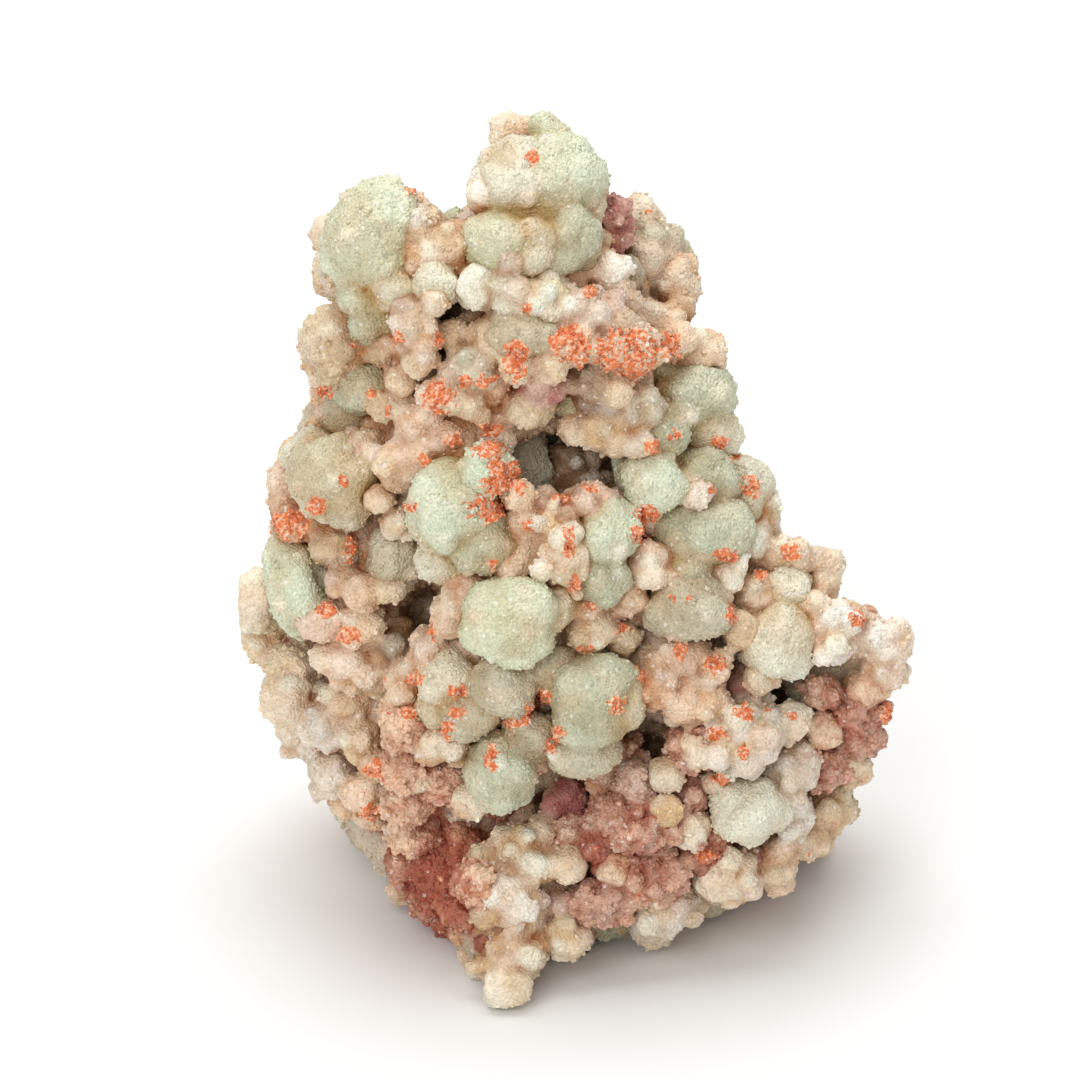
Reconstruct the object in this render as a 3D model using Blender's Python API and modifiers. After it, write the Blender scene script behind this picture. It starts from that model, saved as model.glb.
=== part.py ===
"""Boracite with hilgardite: one intergrown cluster of pale green nodules, cream crystals and pink clay.

Sizes are in millimetres until the mesh is made, and the finished cluster is in metres with +Z up.
The cluster stands on its flat worn base, with the origin on the base, under the middle of its box.

Its front leans back, so the lumps on it are laid out on a leaning plane, the face:
right and up lie in that plane, and near stands out of it, square to it.
"""

import math
import random

import bmesh
import bpy
from mathutils import Matrix, Vector, noise
from mathutils.bvhtree import BVHTree

MM = 0.001
NAME = "boracite_cluster"

# The leaning face
FACE_TILT = math.radians(30.0)
FACE_HEIGHT = 40.0

# How the mesh is made
CORE_FUSE_SIZE = 1.5
FUSE_SIZE = 0.55
FLOOR_MARGIN = 60.0
SOFTEN_TIMES = 3
TRIANGLE_SHARE = 0.042
ORIGIN_SHIFT = Vector((-3.45, -0.33, 0.0))

# The front on the face, from the foot to the top: up, left edge, right edge, near in the middle
FACE_PROFILE = [
    (-46.3, -5.5, -1.0, 1.0),
    (-43.5, -6.5, 0.2, 0.5),
    (-40.5, -7.5, 8.0, -0.5),
    (-38.5, -10.0, 14.5, -1.0),
    (-36.0, -14.5, 20.0, 0.0),
    (-33.0, -14.8, 26.0, 1.5),
    (-30.0, -15.5, 30.0, 3.5),
    (-26.0, -21.5, 30.8, 6.0),
    (-22.0, -23.5, 32.8, 8.0),
    (-19.0, -25.7, 34.5, 9.5),
    (-15.0, -26.8, 36.0, 10.5),
    (-11.0, -27.6, 37.4, 11.5),
    (-8.0, -29.4, 36.0, 12.5),
    (-6.0, -29.5, 30.8, 13.0),
    (-2.0, -28.2, 30.0, 14.0),
    (0.0, -27.4, 25.5, 14.5),
    (4.0, -27.0, 23.0, 16.0),
    (8.0, -26.0, 21.7, 17.0),
    (12.0, -22.2, 18.9, 18.0),
    (16.0, -22.2, 19.0, 19.0),
    (19.0, -24.0, 18.0, 20.0),
    (22.0, -22.7, 14.3, 20.5),
    (26.0, -22.0, 15.0, 21.0),
    (30.0, -22.5, 13.2, 21.0),
    (33.0, -21.7, 11.2, 20.5),
    (36.3, -18.5, 6.4, 19.5),
    (38.0, -5.8, 5.8, 19.0),
    (42.4, -5.0, 2.0, 17.0),
]
FACE_FALL = 22.0
OUTLINE_STEPS = (-0.8, 0.0, 0.8)

# The inner mass that carries the lumps: centre, then radii
CORE = [
    ((4.0, 5.0, 7.0), (24.0, 18.0, 10.0)),
    ((4.0, 4.0, 20.0), (26.0, 16.0, 14.0)),
    ((0.0, 3.0, 36.0), (21.0, 14.0, 14.0)),
    ((-2.0, 4.0, 52.0), (17.0, 11.0, 13.0)),
    ((-4.0, 4.0, 64.0), (14.0, 8.5, 10.0)),
    ((1.0, 5.5, 74.0), (5.0, 5.0, 8.0)),
    ((8.5, 9.0, 60.0), (5.0, 5.0, 7.0)),
    ((25.0, 2.0, 23.0), (8.0, 8.0, 7.5)),
    ((-18.0, 10.0, 24.0), (6.5, 8.0, 15.0)),
    ((-20.0, 4.0, 42.0), (5.5, 6.5, 12.0)),
    ((-16.0, 1.5, 70.0), (4.0, 4.0, 5.0)),
    ((-4.0, -17.0, 6.0), (4.0, 5.0, 7.5)),
]

# Hollows in the inner mass: right, up, near, then half width, half height and half depth
HOLLOWS = [
    (2.0, 7.3, 9.0, 6.3, 4.3, 11.0),
    (8.2, -11.4, 6.0, 2.4, 2.6, 9.0),
    (11.0, -20.5, 3.0, 2.3, 2.4, 8.0),
    (23.0, -15.8, 2.0, 5.0, 1.8, 8.0),
    (-11.5, -7.6, 6.0, 3.0, 3.6, 8.0),
    (3.0, -26.0, 2.0, 4.2, 2.8, 8.0),
    (-8.8, 21.0, 15.0, 1.8, 4.2, 4.5),
    (17.0, -26.5, 0.0, 1.6, 2.4, 7.0),
]

NODULE, CRYSTAL, CLAY = "nodule", "crystal", "clay"

# Lumps on the front: kind, right, up, lift off the general surface, half width, half height, roll in degrees
CROWN_LUMPS = [
    (NODULE, -0.3, 36.8, 1.0, 5.4, 4.9, 20),
    (NODULE, 4.2, 37.2, -0.6, 2.6, 3.4, 25),
    (CRYSTAL, -3.4, 40.9, -0.6, 1.6, 1.9, 0),
    (CRYSTAL, 0.6, 41.0, -0.4, 1.7, 1.6, -35),
    (CRYSTAL, -5.0, 36.0, -0.8, 1.9, 3.6, -14),
    (NODULE, 2.2, 30.2, 0.8, 3.9, 4.0, 0),
    (NODULE, -4.0, 29.2, 0.4, 3.6, 3.1, 0),
    (NODULE, -5.4, 31.8, 0.6, 2.2, 2.5, 0),
    (CRYSTAL, -2.8, 27.8, 1.0, 1.3, 1.3, 0),
    (NODULE, 4.6, 32.6, 0.0, 1.7, 2.6, 0),
    (CRYSTAL, -8.5, 29.5, -2.0, 2.0, 2.9, 0),
    (CRYSTAL, -7.2, 31.0, -2.4, 1.2, 1.4, 0),
    (CRYSTAL, -6.0, 25.0, -0.4, 1.9, 2.3, 0),
]
LEFT_DOME_LUMPS = [
    (NODULE, -16.8, 30.7, 2.6, 5.2, 5.7, 10),
    (NODULE, -17.7, 26.2, 1.0, 3.3, 3.4, 0),
    (NODULE, -16.5, 22.2, 0.0, 2.5, 2.3, 0),
    (CRYSTAL, -21.0, 30.3, 2.4, 1.6, 1.8, 20),
    (CRYSTAL, -12.6, 31.2, -1.6, 2.8, 2.8, -20),
    (CRYSTAL, -21.2, 26.2, 0.6, 1.3, 2.2, 0),
    (CRYSTAL, -19.2, 22.8, 0.0, 1.1, 1.6, 0),
    (CRYSTAL, -11.6, 27.8, -0.2, 2.2, 2.2, 0),
    (NODULE, -14.2, 25.0, 1.6, 2.3, 2.4, 0),
    (NODULE, -10.2, 25.4, 0.4, 2.3, 2.1, 0),
    (CRYSTAL, -13.0, 22.4, 1.2, 1.9, 2.1, 0),
    (CRYSTAL, -11.6, 20.4, 1.0, 1.7, 1.9, 0),
    (CRYSTAL, -11.7, 17.9, 1.0, 1.6, 1.5, 0),
    (CRYSTAL, -10.4, 23.8, 1.2, 1.4, 1.2, 0),
    (CRYSTAL, -13.8, 15.8, 0.8, 1.2, 1.7, 0),
    (CRYSTAL, -20.5, 19.6, 1.6, 3.3, 3.3, 0),
    (CRYSTAL, -21.9, 17.4, 1.8, 2.0, 1.7, 0),
    (CRYSTAL, -22.7, 20.1, 1.6, 1.2, 1.2, 0),
    (CRYSTAL, -16.4, 19.3, -3.0, 2.7, 1.8, 0),
    (CRYSTAL, -15.0, 19.4, -1.6, 1.5, 1.4, 0),
]
LEFT_SIDE_LUMPS = [
    (NODULE, -17.2, 14.8, -0.6, 3.7, 2.8, 0),
    (CRYSTAL, -21.2, 14.6, 2.0, 1.3, 1.2, 0),
    (NODULE, -19.3, 12.2, 0.2, 2.8, 2.0, 0),
    (CRYSTAL, -15.6, 13.4, 1.0, 1.4, 1.3, 0),
    (NODULE, -20.4, 6.4, 2.6, 4.8, 4.3, -10),
    (NODULE, -22.6, 8.9, 2.2, 3.4, 2.1, 15),
    (CRYSTAL, -17.4, 8.6, -0.6, 2.7, 2.5, 0),
    (NODULE, -19.0, 3.0, 1.6, 2.6, 2.1, 0),
    (CRYSTAL, -25.6, 6.1, 3.0, 1.4, 1.7, 0),
    (CRYSTAL, -25.4, 3.5, 2.0, 1.8, 1.4, 0),
    (CRYSTAL, -24.0, 1.4, 1.4, 2.3, 1.4, 0),
    (CRYSTAL, -16.0, 4.1, 0.6, 1.2, 1.2, 0),
    (NODULE, -24.6, -4.4, 2.0, 2.7, 5.6, 10),
    (CRYSTAL, -28.4, -5.8, 4.0, 1.7, 3.0, 0),
    (CRYSTAL, -27.6, -9.6, 2.4, 1.9, 2.4, 0),
    (CRYSTAL, -20.5, -0.6, -0.8, 2.4, 2.2, 0),
    (CRYSTAL, -22.4, 1.4, 0.0, 1.8, 1.4, 0),
    (NODULE, -14.6, -1.6, -2.4, 2.9, 3.2, 0),
    (CRYSTAL, -14.2, 2.0, -0.8, 1.8, 1.5, -30),
    (CRYSTAL, -19.6, -4.2, -0.6, 2.0, 1.7, 0),
    (CRYSTAL, -17.4, -5.6, -0.6, 1.6, 1.6, 0),
    (CRYSTAL, -14.8, -4.9, -1.2, 1.2, 1.2, 0),
    (CRYSTAL, -21.4, -8.0, 0.6, 2.6, 1.9, 0),
    (CRYSTAL, -18.3, -8.6, -0.4, 2.3, 2.0, 0),
    (CRYSTAL, -19.0, -12.2, -0.2, 3.5, 2.3, 0),
    (CRYSTAL, -14.6, -10.6, -3.6, 2.6, 3.0, 0),
    (CRYSTAL, -16.4, -13.2, -1.4, 1.9, 2.3, 0),
    (CRYSTAL, -24.8, -14.6, 1.0, 2.5, 4.4, 0),
    (CRYSTAL, -24.2, -19.4, 2.4, 2.0, 2.6, 0),
    (CRYSTAL, -21.2, -18.0, -0.6, 2.3, 3.2, 0),
    (CRYSTAL, -18.8, -16.0, -2.2, 2.8, 2.2, 0),
    (CRYSTAL, -21.0, -23.0, 1.8, 2.2, 2.6, 0),
    (CRYSTAL, -18.0, -20.0, -1.0, 2.0, 2.0, 0),
    (CRYSTAL, -17.4, -25.0, 0.4, 2.4, 1.9, 0),
    (CRYSTAL, -16.4, -22.4, -0.4, 1.5, 1.5, 0),
    (CRYSTAL, -19.4, -26.4, 2.4, 1.7, 1.4, 0),
    (CRYSTAL, -16.8, -27.6, 1.4, 1.5, 1.3, 0),
]
CLAY_COLUMN_LUMPS = [
    (CRYSTAL, -11.0, -11.0, 0.2, 1.7, 3.0, -20),
    (CRYSTAL, -13.2, -14.2, 0.2, 2.0, 2.6, 0),
    (CLAY, -13.4, -18.6, 0.8, 2.4, 2.6, 0),
    (CLAY, -13.0, -22.6, 1.2, 2.8, 2.6, 0),
    (CLAY, -9.4, -24.2, -0.6, 2.5, 2.3, 0),
    (CLAY, -13.4, -26.4, 1.6, 2.4, 2.3, 0),
    (CLAY, -12.4, -29.6, 1.4, 2.7, 2.2, 0),
    (CLAY, -13.2, -32.2, 2.6, 2.1, 2.4, 0),
    (CLAY, -10.4, -33.2, 0.4, 2.5, 2.5, 0),
    (CRYSTAL, -13.7, -35.2, 2.6, 1.5, 1.5, 0),
    (CLAY, -10.6, -36.4, 1.6, 2.0, 1.9, 0),
    (CLAY, -8.2, -38.2, 1.0, 2.4, 1.9, 0),
    (CRYSTAL, -7.4, -31.0, -0.8, 1.7, 2.9, 0),
    (CLAY, -8.4, -34.6, -0.4, 1.7, 1.7, 0),
    (CRYSTAL, -5.0, -32.6, 3.0, 2.6, 2.1, 20),
    (CRYSTAL, -2.5, -30.6, 1.8, 2.6, 2.1, 0),
    (CRYSTAL, 0.0, -29.6, -1.0, 1.5, 1.5, 0),
    (CRYSTAL, -0.8, -32.4, 2.2, 1.9, 1.9, 0),
    (CRYSTAL, -2.7, -36.3, 4.6, 3.2, 2.8, 0),
    (CRYSTAL, -3.2, -39.4, 4.6, 2.3, 2.0, 0),
    (CRYSTAL, -3.8, -42.2, 3.0, 2.9, 1.9, 0),
    (CRYSTAL, -3.3, -44.7, 2.4, 2.1, 1.6, 0),
    (CRYSTAL, -1.0, -41.4, 2.4, 1.4, 1.6, 0),
    (CRYSTAL, -5.8, -41.0, 3.0, 1.4, 1.9, 0),
]
CENTRE_LUMPS = [
    (CRYSTAL, -9.8, 14.4, 0.2, 2.3, 1.7, 0),
    (CRYSTAL, -12.0, 11.4, 0.2, 2.4, 2.3, 0),
    (CRYSTAL, -7.4, 13.9, -0.6, 2.1, 1.5, 0),
    (CRYSTAL, -5.9, 12.4, -1.0, 1.0, 1.0, 0),
    (CRYSTAL, -13.0, 8.0, 0.4, 2.7, 2.1, 0),
    (CRYSTAL, -9.8, 9.9, -0.4, 2.1, 1.5, 0),
    (CRYSTAL, -14.5, 6.4, 0.4, 1.7, 1.3, 0),
    (NODULE, -9.0, 3.4, 2.2, 4.2, 5.4, 0),
    (NODULE, -5.6, 6.8, 1.6, 2.8, 2.7, 0),
    (NODULE, -5.4, -0.6, 1.8, 3.7, 3.1, 0),
    (NODULE, -10.0, -2.0, 1.4, 2.4, 2.1, 0),
    (CRYSTAL, -2.0, 4.3, 1.0, 1.5, 1.4, 0),
    (CRYSTAL, -1.6, 1.4, 0.8, 1.8, 1.7, 0),
    (CRYSTAL, -2.8, -2.2, 1.6, 2.1, 1.7, 0),
    (CRYSTAL, -7.0, -4.9, 1.0, 2.9, 1.7, 0),
    (CRYSTAL, -8.9, -7.4, 1.0, 1.5, 2.3, 0),
    (NODULE, -3.0, -8.0, 4.4, 5.6, 4.5, 0),
    (NODULE, 1.6, -6.2, 1.4, 2.0, 2.6, 0),
    (CRYSTAL, 2.2, -0.6, 2.4, 2.8, 4.8, 18),
    (NODULE, 6.4, 1.0, 2.0, 3.2, 3.7, 20),
    (NODULE, 6.0, -3.6, 1.2, 3.0, 2.8, 0),
    (CRYSTAL, 4.6, 3.6, 0.8, 2.9, 1.5, 0),
    (CRYSTAL, 0.6, 3.6, -0.6, 2.0, 1.3, 0),
    (CRYSTAL, 0.0, -3.0, 3.8, 0.9, 0.9, 0),
    (CRYSTAL, 11.0, -2.6, 0.0, 2.6, 2.4, 0),
    (CRYSTAL, 8.4, -5.6, -0.4, 2.1, 1.9, 0),
    (CRYSTAL, 5.0, -9.2, -0.8, 2.3, 2.3, 0),
    (CRYSTAL, 8.2, -10.0, -2.0, 1.4, 1.4, 0),
    (CRYSTAL, 4.8, -6.8, 0.2, 1.5, 1.1, 0),
    (NODULE, -1.8, 8.0, -9.6, 2.8, 4.6, 0),
    (CRYSTAL, 3.6, 6.6, -10.6, 3.0, 3.6, 0),
]
BROW_LUMPS = [
    (CRYSTAL, -0.4, 24.2, 0.2, 4.2, 2.3, 0),
    (CRYSTAL, 4.2, 22.4, 0.4, 4.6, 2.7, 0),
    (NODULE, -1.6, 20.4, 0.6, 3.5, 3.1, 0),
    (CRYSTAL, 3.0, 19.5, 0.8, 2.7, 2.1, 0),
    (CRYSTAL, 8.6, 19.0, 0.8, 3.4, 2.9, 0),
    (CRYSTAL, 7.9, 24.2, -1.0, 1.9, 1.7, 0),
    (CRYSTAL, 11.2, 22.0, -0.6, 3.1, 1.8, 0),
    (CRYSTAL, 13.2, 19.8, 0.0, 1.8, 2.0, 0),
    (CRYSTAL, 15.8, 19.0, 0.6, 2.4, 2.3, -20),
    (CRYSTAL, -4.8, 20.2, -1.2, 2.5, 2.2, 0),
    (CRYSTAL, -8.6, 20.4, -1.8, 1.4, 1.3, 0),
    (CRYSTAL, -6.4, 17.4, -0.8, 3.0, 2.3, 0),
    (CRYSTAL, -2.4, 17.4, 0.6, 1.9, 1.6, 0),
    (CRYSTAL, 1.0, 17.2, 1.2, 1.2, 1.2, 0),
    (CRYSTAL, 0.0, 15.4, -1.0, 2.3, 1.6, 0),
    (CRYSTAL, -1.0, 13.4, -2.4, 2.4, 1.7, 0),
    (CRYSTAL, 6.0, 15.4, -1.2, 3.6, 2.7, 0),
    (CRYSTAL, 7.7, 14.7, 1.0, 1.0, 1.1, 0),
    (CRYSTAL, 3.4, 11.0, -2.4, 1.5, 1.3, 0),
    (CRYSTAL, 5.5, 10.8, -0.8, 1.3, 1.3, 0),
    (CRYSTAL, 7.6, 10.6, -0.4, 2.5, 2.2, 0),
    (CRYSTAL, 9.7, 9.6, 1.0, 1.0, 1.3, 0),
    (CRYSTAL, 10.0, 13.2, 0.0, 2.8, 2.8, 0),
]
RIGHT_SIDE_LUMPS = [
    (CRYSTAL, 10.6, 28.4, -6.0, 3.9, 4.0, 30),
    (CRYSTAL, 10.1, 32.4, -6.0, 1.9, 2.2, 0),
    (CLAY, 7.4, 31.2, -5.0, 2.0, 2.2, 0),
    (CRYSTAL, 13.6, 25.6, 0.0, 2.1, 2.6, 0),
    (CRYSTAL, 14.9, 27.4, 8.0, 1.0, 1.1, 0),
    (CRYSTAL, 14.3, 23.4, 6.0, 1.2, 1.2, 0),
    (NODULE, 8.2, 26.6, -5.4, 2.2, 1.8, 0),
    (NODULE, 15.0, 14.0, 0.6, 4.2, 3.5, 0),
    (NODULE, 17.6, 15.0, 1.8, 1.9, 2.0, 0),
    (NODULE, 12.0, 11.0, 0.4, 2.9, 2.7, 0),
    (NODULE, 16.6, 10.8, 1.6, 3.0, 2.6, 0),
    (NODULE, 11.0, 6.0, 0.6, 3.6, 3.1, 0),
    (NODULE, 16.0, 6.0, 1.6, 4.1, 3.4, 0),
    (NODULE, 20.6, 5.0, 3.6, 2.6, 3.5, 15),
    (NODULE, 15.8, 0.8, 1.0, 5.1, 4.0, 0),
    (CRYSTAL, 20.2, 0.0, 0.4, 3.0, 3.0, 0),
    (CRYSTAL, 15.5, 4.5, 3.2, 1.1, 1.1, 0),
    (NODULE, 14.4, -2.6, -0.6, 3.1, 2.0, 0),
    (CRYSTAL, 18.0, -3.0, -0.6, 2.5, 1.9, 0),
    (CRYSTAL, 22.2, 2.4, 3.4, 1.4, 2.5, 0),
    (NODULE, 14.8, -6.8, 1.6, 4.6, 3.3, 0),
    (CRYSTAL, 25.0, -1.4, 3.2, 2.5, 1.6, 0),
    (CRYSTAL, 28.4, -2.3, 5.2, 2.2, 1.5, -12),
    (NODULE, 24.4, -4.6, 2.0, 2.9, 2.2, 0),
    (CRYSTAL, 28.0, -5.0, 3.6, 1.8, 1.5, 0),
    (CRYSTAL, 21.4, -5.2, 0.4, 2.0, 1.8, 0),
    (CRYSTAL, 28.9, -9.4, 3.2, 2.8, 3.1, 0),
    (NODULE, 24.0, -10.0, 1.4, 4.1, 3.9, 0),
    (CRYSTAL, 26.2, -6.9, 2.4, 2.6, 1.4, 0),
    (CRYSTAL, 22.0, -13.8, 0.6, 1.4, 1.7, 0),
    (CRYSTAL, 20.0, -9.0, 0.0, 1.7, 1.9, 0),
    (CRYSTAL, 33.4, -10.6, 5.0, 2.1, 2.4, 0),
    (CRYSTAL, 35.7, -10.2, 9.0, 1.5, 2.3, -15),
    (CRYSTAL, 34.4, -13.1, 7.0, 2.3, 1.6, 0),
    (CRYSTAL, 31.4, -8.2, 4.0, 1.3, 1.4, 0),
    (CRYSTAL, 32.8, -15.0, 5.4, 2.1, 1.5, 0),
    (CLAY, 31.8, -17.2, 4.6, 2.8, 2.3, 0),
    (CLAY, 28.4, -15.2, 1.2, 2.1, 1.7, 0),
    (CLAY, 31.8, -19.4, 4.8, 2.3, 1.9, 0),
    (CRYSTAL, 28.4, -19.0, 2.2, 1.9, 2.1, 0),
    (CRYSTAL, 24.6, -18.4, 1.2, 2.5, 1.7, 0),
    (CRYSTAL, 31.0, -22.4, 4.8, 1.9, 2.4, 0),
    (CLAY, 28.4, -22.6, 2.2, 2.4, 2.4, 0),
    (CRYSTAL, 28.9, -26.8, 4.6, 2.1, 2.8, 0),
    (CRYSTAL, 30.6, -27.0, 6.8, 0.9, 1.5, 0),
    (CRYSTAL, 27.4, -30.2, 5.2, 2.2, 1.4, 0),
]
RIGHT_FRONT_LUMPS = [
    (CRYSTAL, 20.2, -19.4, 1.4, 3.5, 3.7, 0),
    (CRYSTAL, 25.0, -23.0, 1.8, 2.4, 3.5, -10),
    (CRYSTAL, 25.4, -27.8, 3.0, 1.9, 2.5, 0),
    (NODULE, 21.0, -27.2, 4.2, 3.7, 3.6, 0),
    (CRYSTAL, 15.0, -16.0, 0.0, 3.5, 2.5, 0),
    (CRYSTAL, 11.6, -14.4, 0.2, 2.3, 2.7, 0),
    (CRYSTAL, 14.5, -11.6, -0.6, 2.2, 1.9, 0),
    (CRYSTAL, 17.5, -12.6, 0.2, 1.5, 1.4, 0),
    (CRYSTAL, 19.4, -14.6, -3.6, 2.6, 1.9, 0),
    (CLAY, 15.0, -20.4, -0.2, 2.5, 2.6, 0),
    (CRYSTAL, 15.7, -21.2, 1.6, 1.7, 1.5, 0),
    (CRYSTAL, 12.5, -23.5, 0.2, 1.1, 1.1, 0),
    (CLAY, 9.5, -24.2, -0.6, 2.0, 1.9, 0),
    (CLAY, 15.0, -25.2, -0.6, 1.6, 1.9, 0),
    (CLAY, 10.2, -28.4, 0.6, 4.4, 2.8, 0),
    (CRYSTAL, 12.5, -27.0, 1.8, 1.1, 1.1, 0),
    (CRYSTAL, 15.0, -29.0, 1.4, 2.3, 1.3, 15),
    (CLAY, 17.2, -29.6, 0.0, 1.3, 1.3, 0),
    (CRYSTAL, 17.0, -24.2, 0.4, 1.0, 1.0, 0),
    (CLAY, 5.8, -31.0, 0.0, 1.9, 1.6, 0),
    (CRYSTAL, 2.8, -32.3, 1.6, 2.0, 1.7, 0),
    (CRYSTAL, 7.3, -33.0, 1.6, 1.0, 1.0, 0),
    (CLAY, 10.0, -33.6, 0.8, 4.2, 2.8, 0),
    (CLAY, 6.0, -36.4, 2.4, 3.3, 2.2, 0),
    (CRYSTAL, 12.0, -36.6, 3.6, 3.3, 3.0, 0),
    (CRYSTAL, 18.8, -33.8, 5.5, 3.3, 2.9, 0),
    (CRYSTAL, 23.4, -32.4, 5.5, 2.1, 2.9, 0),
    (CLAY, 16.2, -31.4, 0.4, 2.6, 1.6, 0),
    (CRYSTAL, 2.6, -39.8, 2.4, 2.2, 1.9, 0),
    (CRYSTAL, 1.5, -36.4, -0.6, 2.1, 2.3, 0),
    (CRYSTAL, 11.0, -38.8, 3.0, 2.0, 1.4, 0),
    (CRYSTAL, 2.6, -26.0, -6.2, 2.4, 2.1, 0),
    (CLAY, 3.6, -29.4, -1.6, 2.0, 1.8, 0),
    (CLAY, 5.6, -28.2, -1.4, 1.3, 1.3, 0),
    (CLAY, 20.6, -31.6, 1.0, 1.8, 1.2, 0),
]
FRONT_NODULE_LUMPS = [
    (NODULE, -9.2, -13.8, 1.4, 3.2, 3.1, 0),
    (NODULE, -4.0, -14.4, 2.0, 3.5, 3.0, 0),
    (NODULE, -10.4, -16.2, 0.8, 2.0, 2.6, 0),
    (NODULE, -7.0, -17.2, 1.4, 3.6, 2.6, 0),
    (NODULE, 5.2, -16.0, 2.2, 4.7, 5.0, 0),
    (NODULE, 2.0, -13.8, 0.6, 2.4, 2.9, 0),
    (NODULE, 8.2, -16.0, 1.4, 2.6, 3.2, 0),
    (NODULE, 4.2, -21.4, 1.4, 3.7, 2.4, 0),
    (NODULE, -4.0, -23.0, 2.8, 3.7, 4.1, 20),
    (NODULE, -0.8, -19.6, 0.2, 3.1, 2.2, -30),
    (CRYSTAL, -8.4, -20.6, 0.4, 1.9, 1.9, 0),
    (CRYSTAL, -10.8, -20.5, 1.4, 1.7, 1.6, 0),
    (CRYSTAL, -7.0, -26.0, 0.4, 1.5, 1.3, 0),
]
FRONT_LUMPS = (
    CROWN_LUMPS
    + LEFT_DOME_LUMPS
    + LEFT_SIDE_LUMPS
    + CLAY_COLUMN_LUMPS
    + CENTRE_LUMPS
    + BROW_LUMPS
    + RIGHT_SIDE_LUMPS
    + RIGHT_FRONT_LUMPS
    + FRONT_NODULE_LUMPS
)

# How uneven each kind is, and how fine its unevenness
UNEVEN = {NODULE: (0.16, 1.1), CRYSTAL: (0.30, 1.7), CLAY: (0.34, 2.3)}
UNEVEN_CHANGE = 0.37
COARSE_SIZE = 2.4
COARSE, FINE = 2, 3

# The stone
STONE_COLOUR = (0.62, 0.55, 0.42, 1.0)
STONE_ROUGHNESS = 0.62

# How a front lump sits: its share sunk in, and its least height over the floor as a share of its half height
SINK = 0.45
FLOOR_CLEAR = 0.6

# The stem of a lump that stands clear of the inner mass
STEM_FREE = 0.5
STEM_WIDTH = 0.72
STEM_SINK = 1.5

# Lumps wherever the inner mass is bare
FILL_SEED = 11
FILL_TRIES = 6000
FILL_SPACING = 0.74
FILL_LIFT = (0.2, 1.4)
FILL_STRETCH = (0.85, 1.15)
NODULE_SHARE, NODULE_SIZES = 0.34, (3.2, 5.2)
CLAY_SHARE, CLAY_SIZES = 0.33, (2.0, 3.2)
CRYSTAL_SIZES = (1.9, 3.4)
CLAY_TOP = 26.0
HOLLOW_CLEAR = 1.5


def face_axes():
    """Unit vectors of the face: right, up and near."""
    right = Vector((1.0, 0.0, 0.0))
    up = Vector((0.0, math.sin(FACE_TILT), math.cos(FACE_TILT)))
    near = Vector((0.0, -math.cos(FACE_TILT), math.sin(FACE_TILT)))
    return right, up, near


def face_point(right, up, near):
    """The place, in millimetres, of a point given on the leaning face."""
    axis_right, axis_up, axis_near = face_axes()
    return Vector((0.0, 0.0, FACE_HEIGHT)) + axis_right * right + axis_up * up + axis_near * near


def face_row(up):
    """The left edge, the right edge and the near in the middle of the front, at this height on the face."""
    rows = FACE_PROFILE
    up = min(max(up, rows[0][0]), rows[-1][0])
    for low, high in zip(rows, rows[1:]):
        if up <= high[0]:
            share = (up - low[0]) / (high[0] - low[0])
            return [a + (b - a) * share for a, b in zip(low[1:], high[1:])]


def face_near(right, up):
    """How far the general front surface stands out of the face there."""
    left_edge, right_edge, near = face_row(up)
    middle = (left_edge + right_edge) / 2.0
    reach = min(abs(right - middle) / (right_edge - middle), 1.0)
    return near - FACE_FALL * (1.0 - math.sqrt(1.0 - reach * reach))


def in_outline(point, margin):
    """Whether a point is inside the front's outline, by this margin, as the face is looked at."""
    axis_right, axis_up, _ = face_axes()
    from_middle = point - Vector((0.0, 0.0, FACE_HEIGHT))
    right, up = from_middle.dot(axis_right), from_middle.dot(axis_up)
    if not FACE_PROFILE[0][0] < up < FACE_PROFILE[-1][0] - margin:
        return False
    rows = [face_row(up + step * margin) for step in OUTLINE_STEPS]
    return all(left + margin < right < right_edge - margin for left, right_edge, _ in rows)


def add_ball(bm, fineness, shape, turn, centre):
    """One closed ball, its points put through shape, then turned and moved."""
    ball = bmesh.new()
    bmesh.ops.create_icosphere(ball, subdivisions=fineness, radius=1.0)
    for vert in ball.verts:
        vert.co = turn @ shape(vert.co) + centre
    mesh = bpy.data.meshes.new("ball")
    ball.to_mesh(mesh)
    ball.free()
    bm.from_mesh(mesh)
    bpy.data.meshes.remove(mesh)


def stretched(radii):
    return lambda point: Vector((point.x * radii[0], point.y * radii[1], point.z * radii[2]))


def add_lump(bm, kind, centre, radii, turn):
    """One closed lump: a ball made uneven, or blunt and faceted for a crystal."""
    coarse = kind == CRYSTAL and sum(radii) / 3.0 < COARSE_SIZE
    swell, pitch = UNEVEN[kind]
    key = centre * UNEVEN_CHANGE
    grow = stretched(radii)

    def shape(point):
        return grow(point * (1.0 + swell * noise.noise(point * pitch + key)))

    add_ball(bm, COARSE if coarse else FINE, shape, turn, centre)


def add_stem(bm, centre, size, core_tree):
    """Joins a lump that stands clear of the inner mass to the place on the mass nearest to it."""
    place, _, _, distance = core_tree.find_nearest(centre)
    if distance < STEM_FREE * size:
        return
    radii = (STEM_WIDTH * size, STEM_WIDTH * size, distance / 2.0 + STEM_SINK)
    turn = (place - centre).to_track_quat("Z", "X").to_matrix()
    add_ball(bm, COARSE, stretched(radii), turn, (place + centre) / 2.0)


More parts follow.
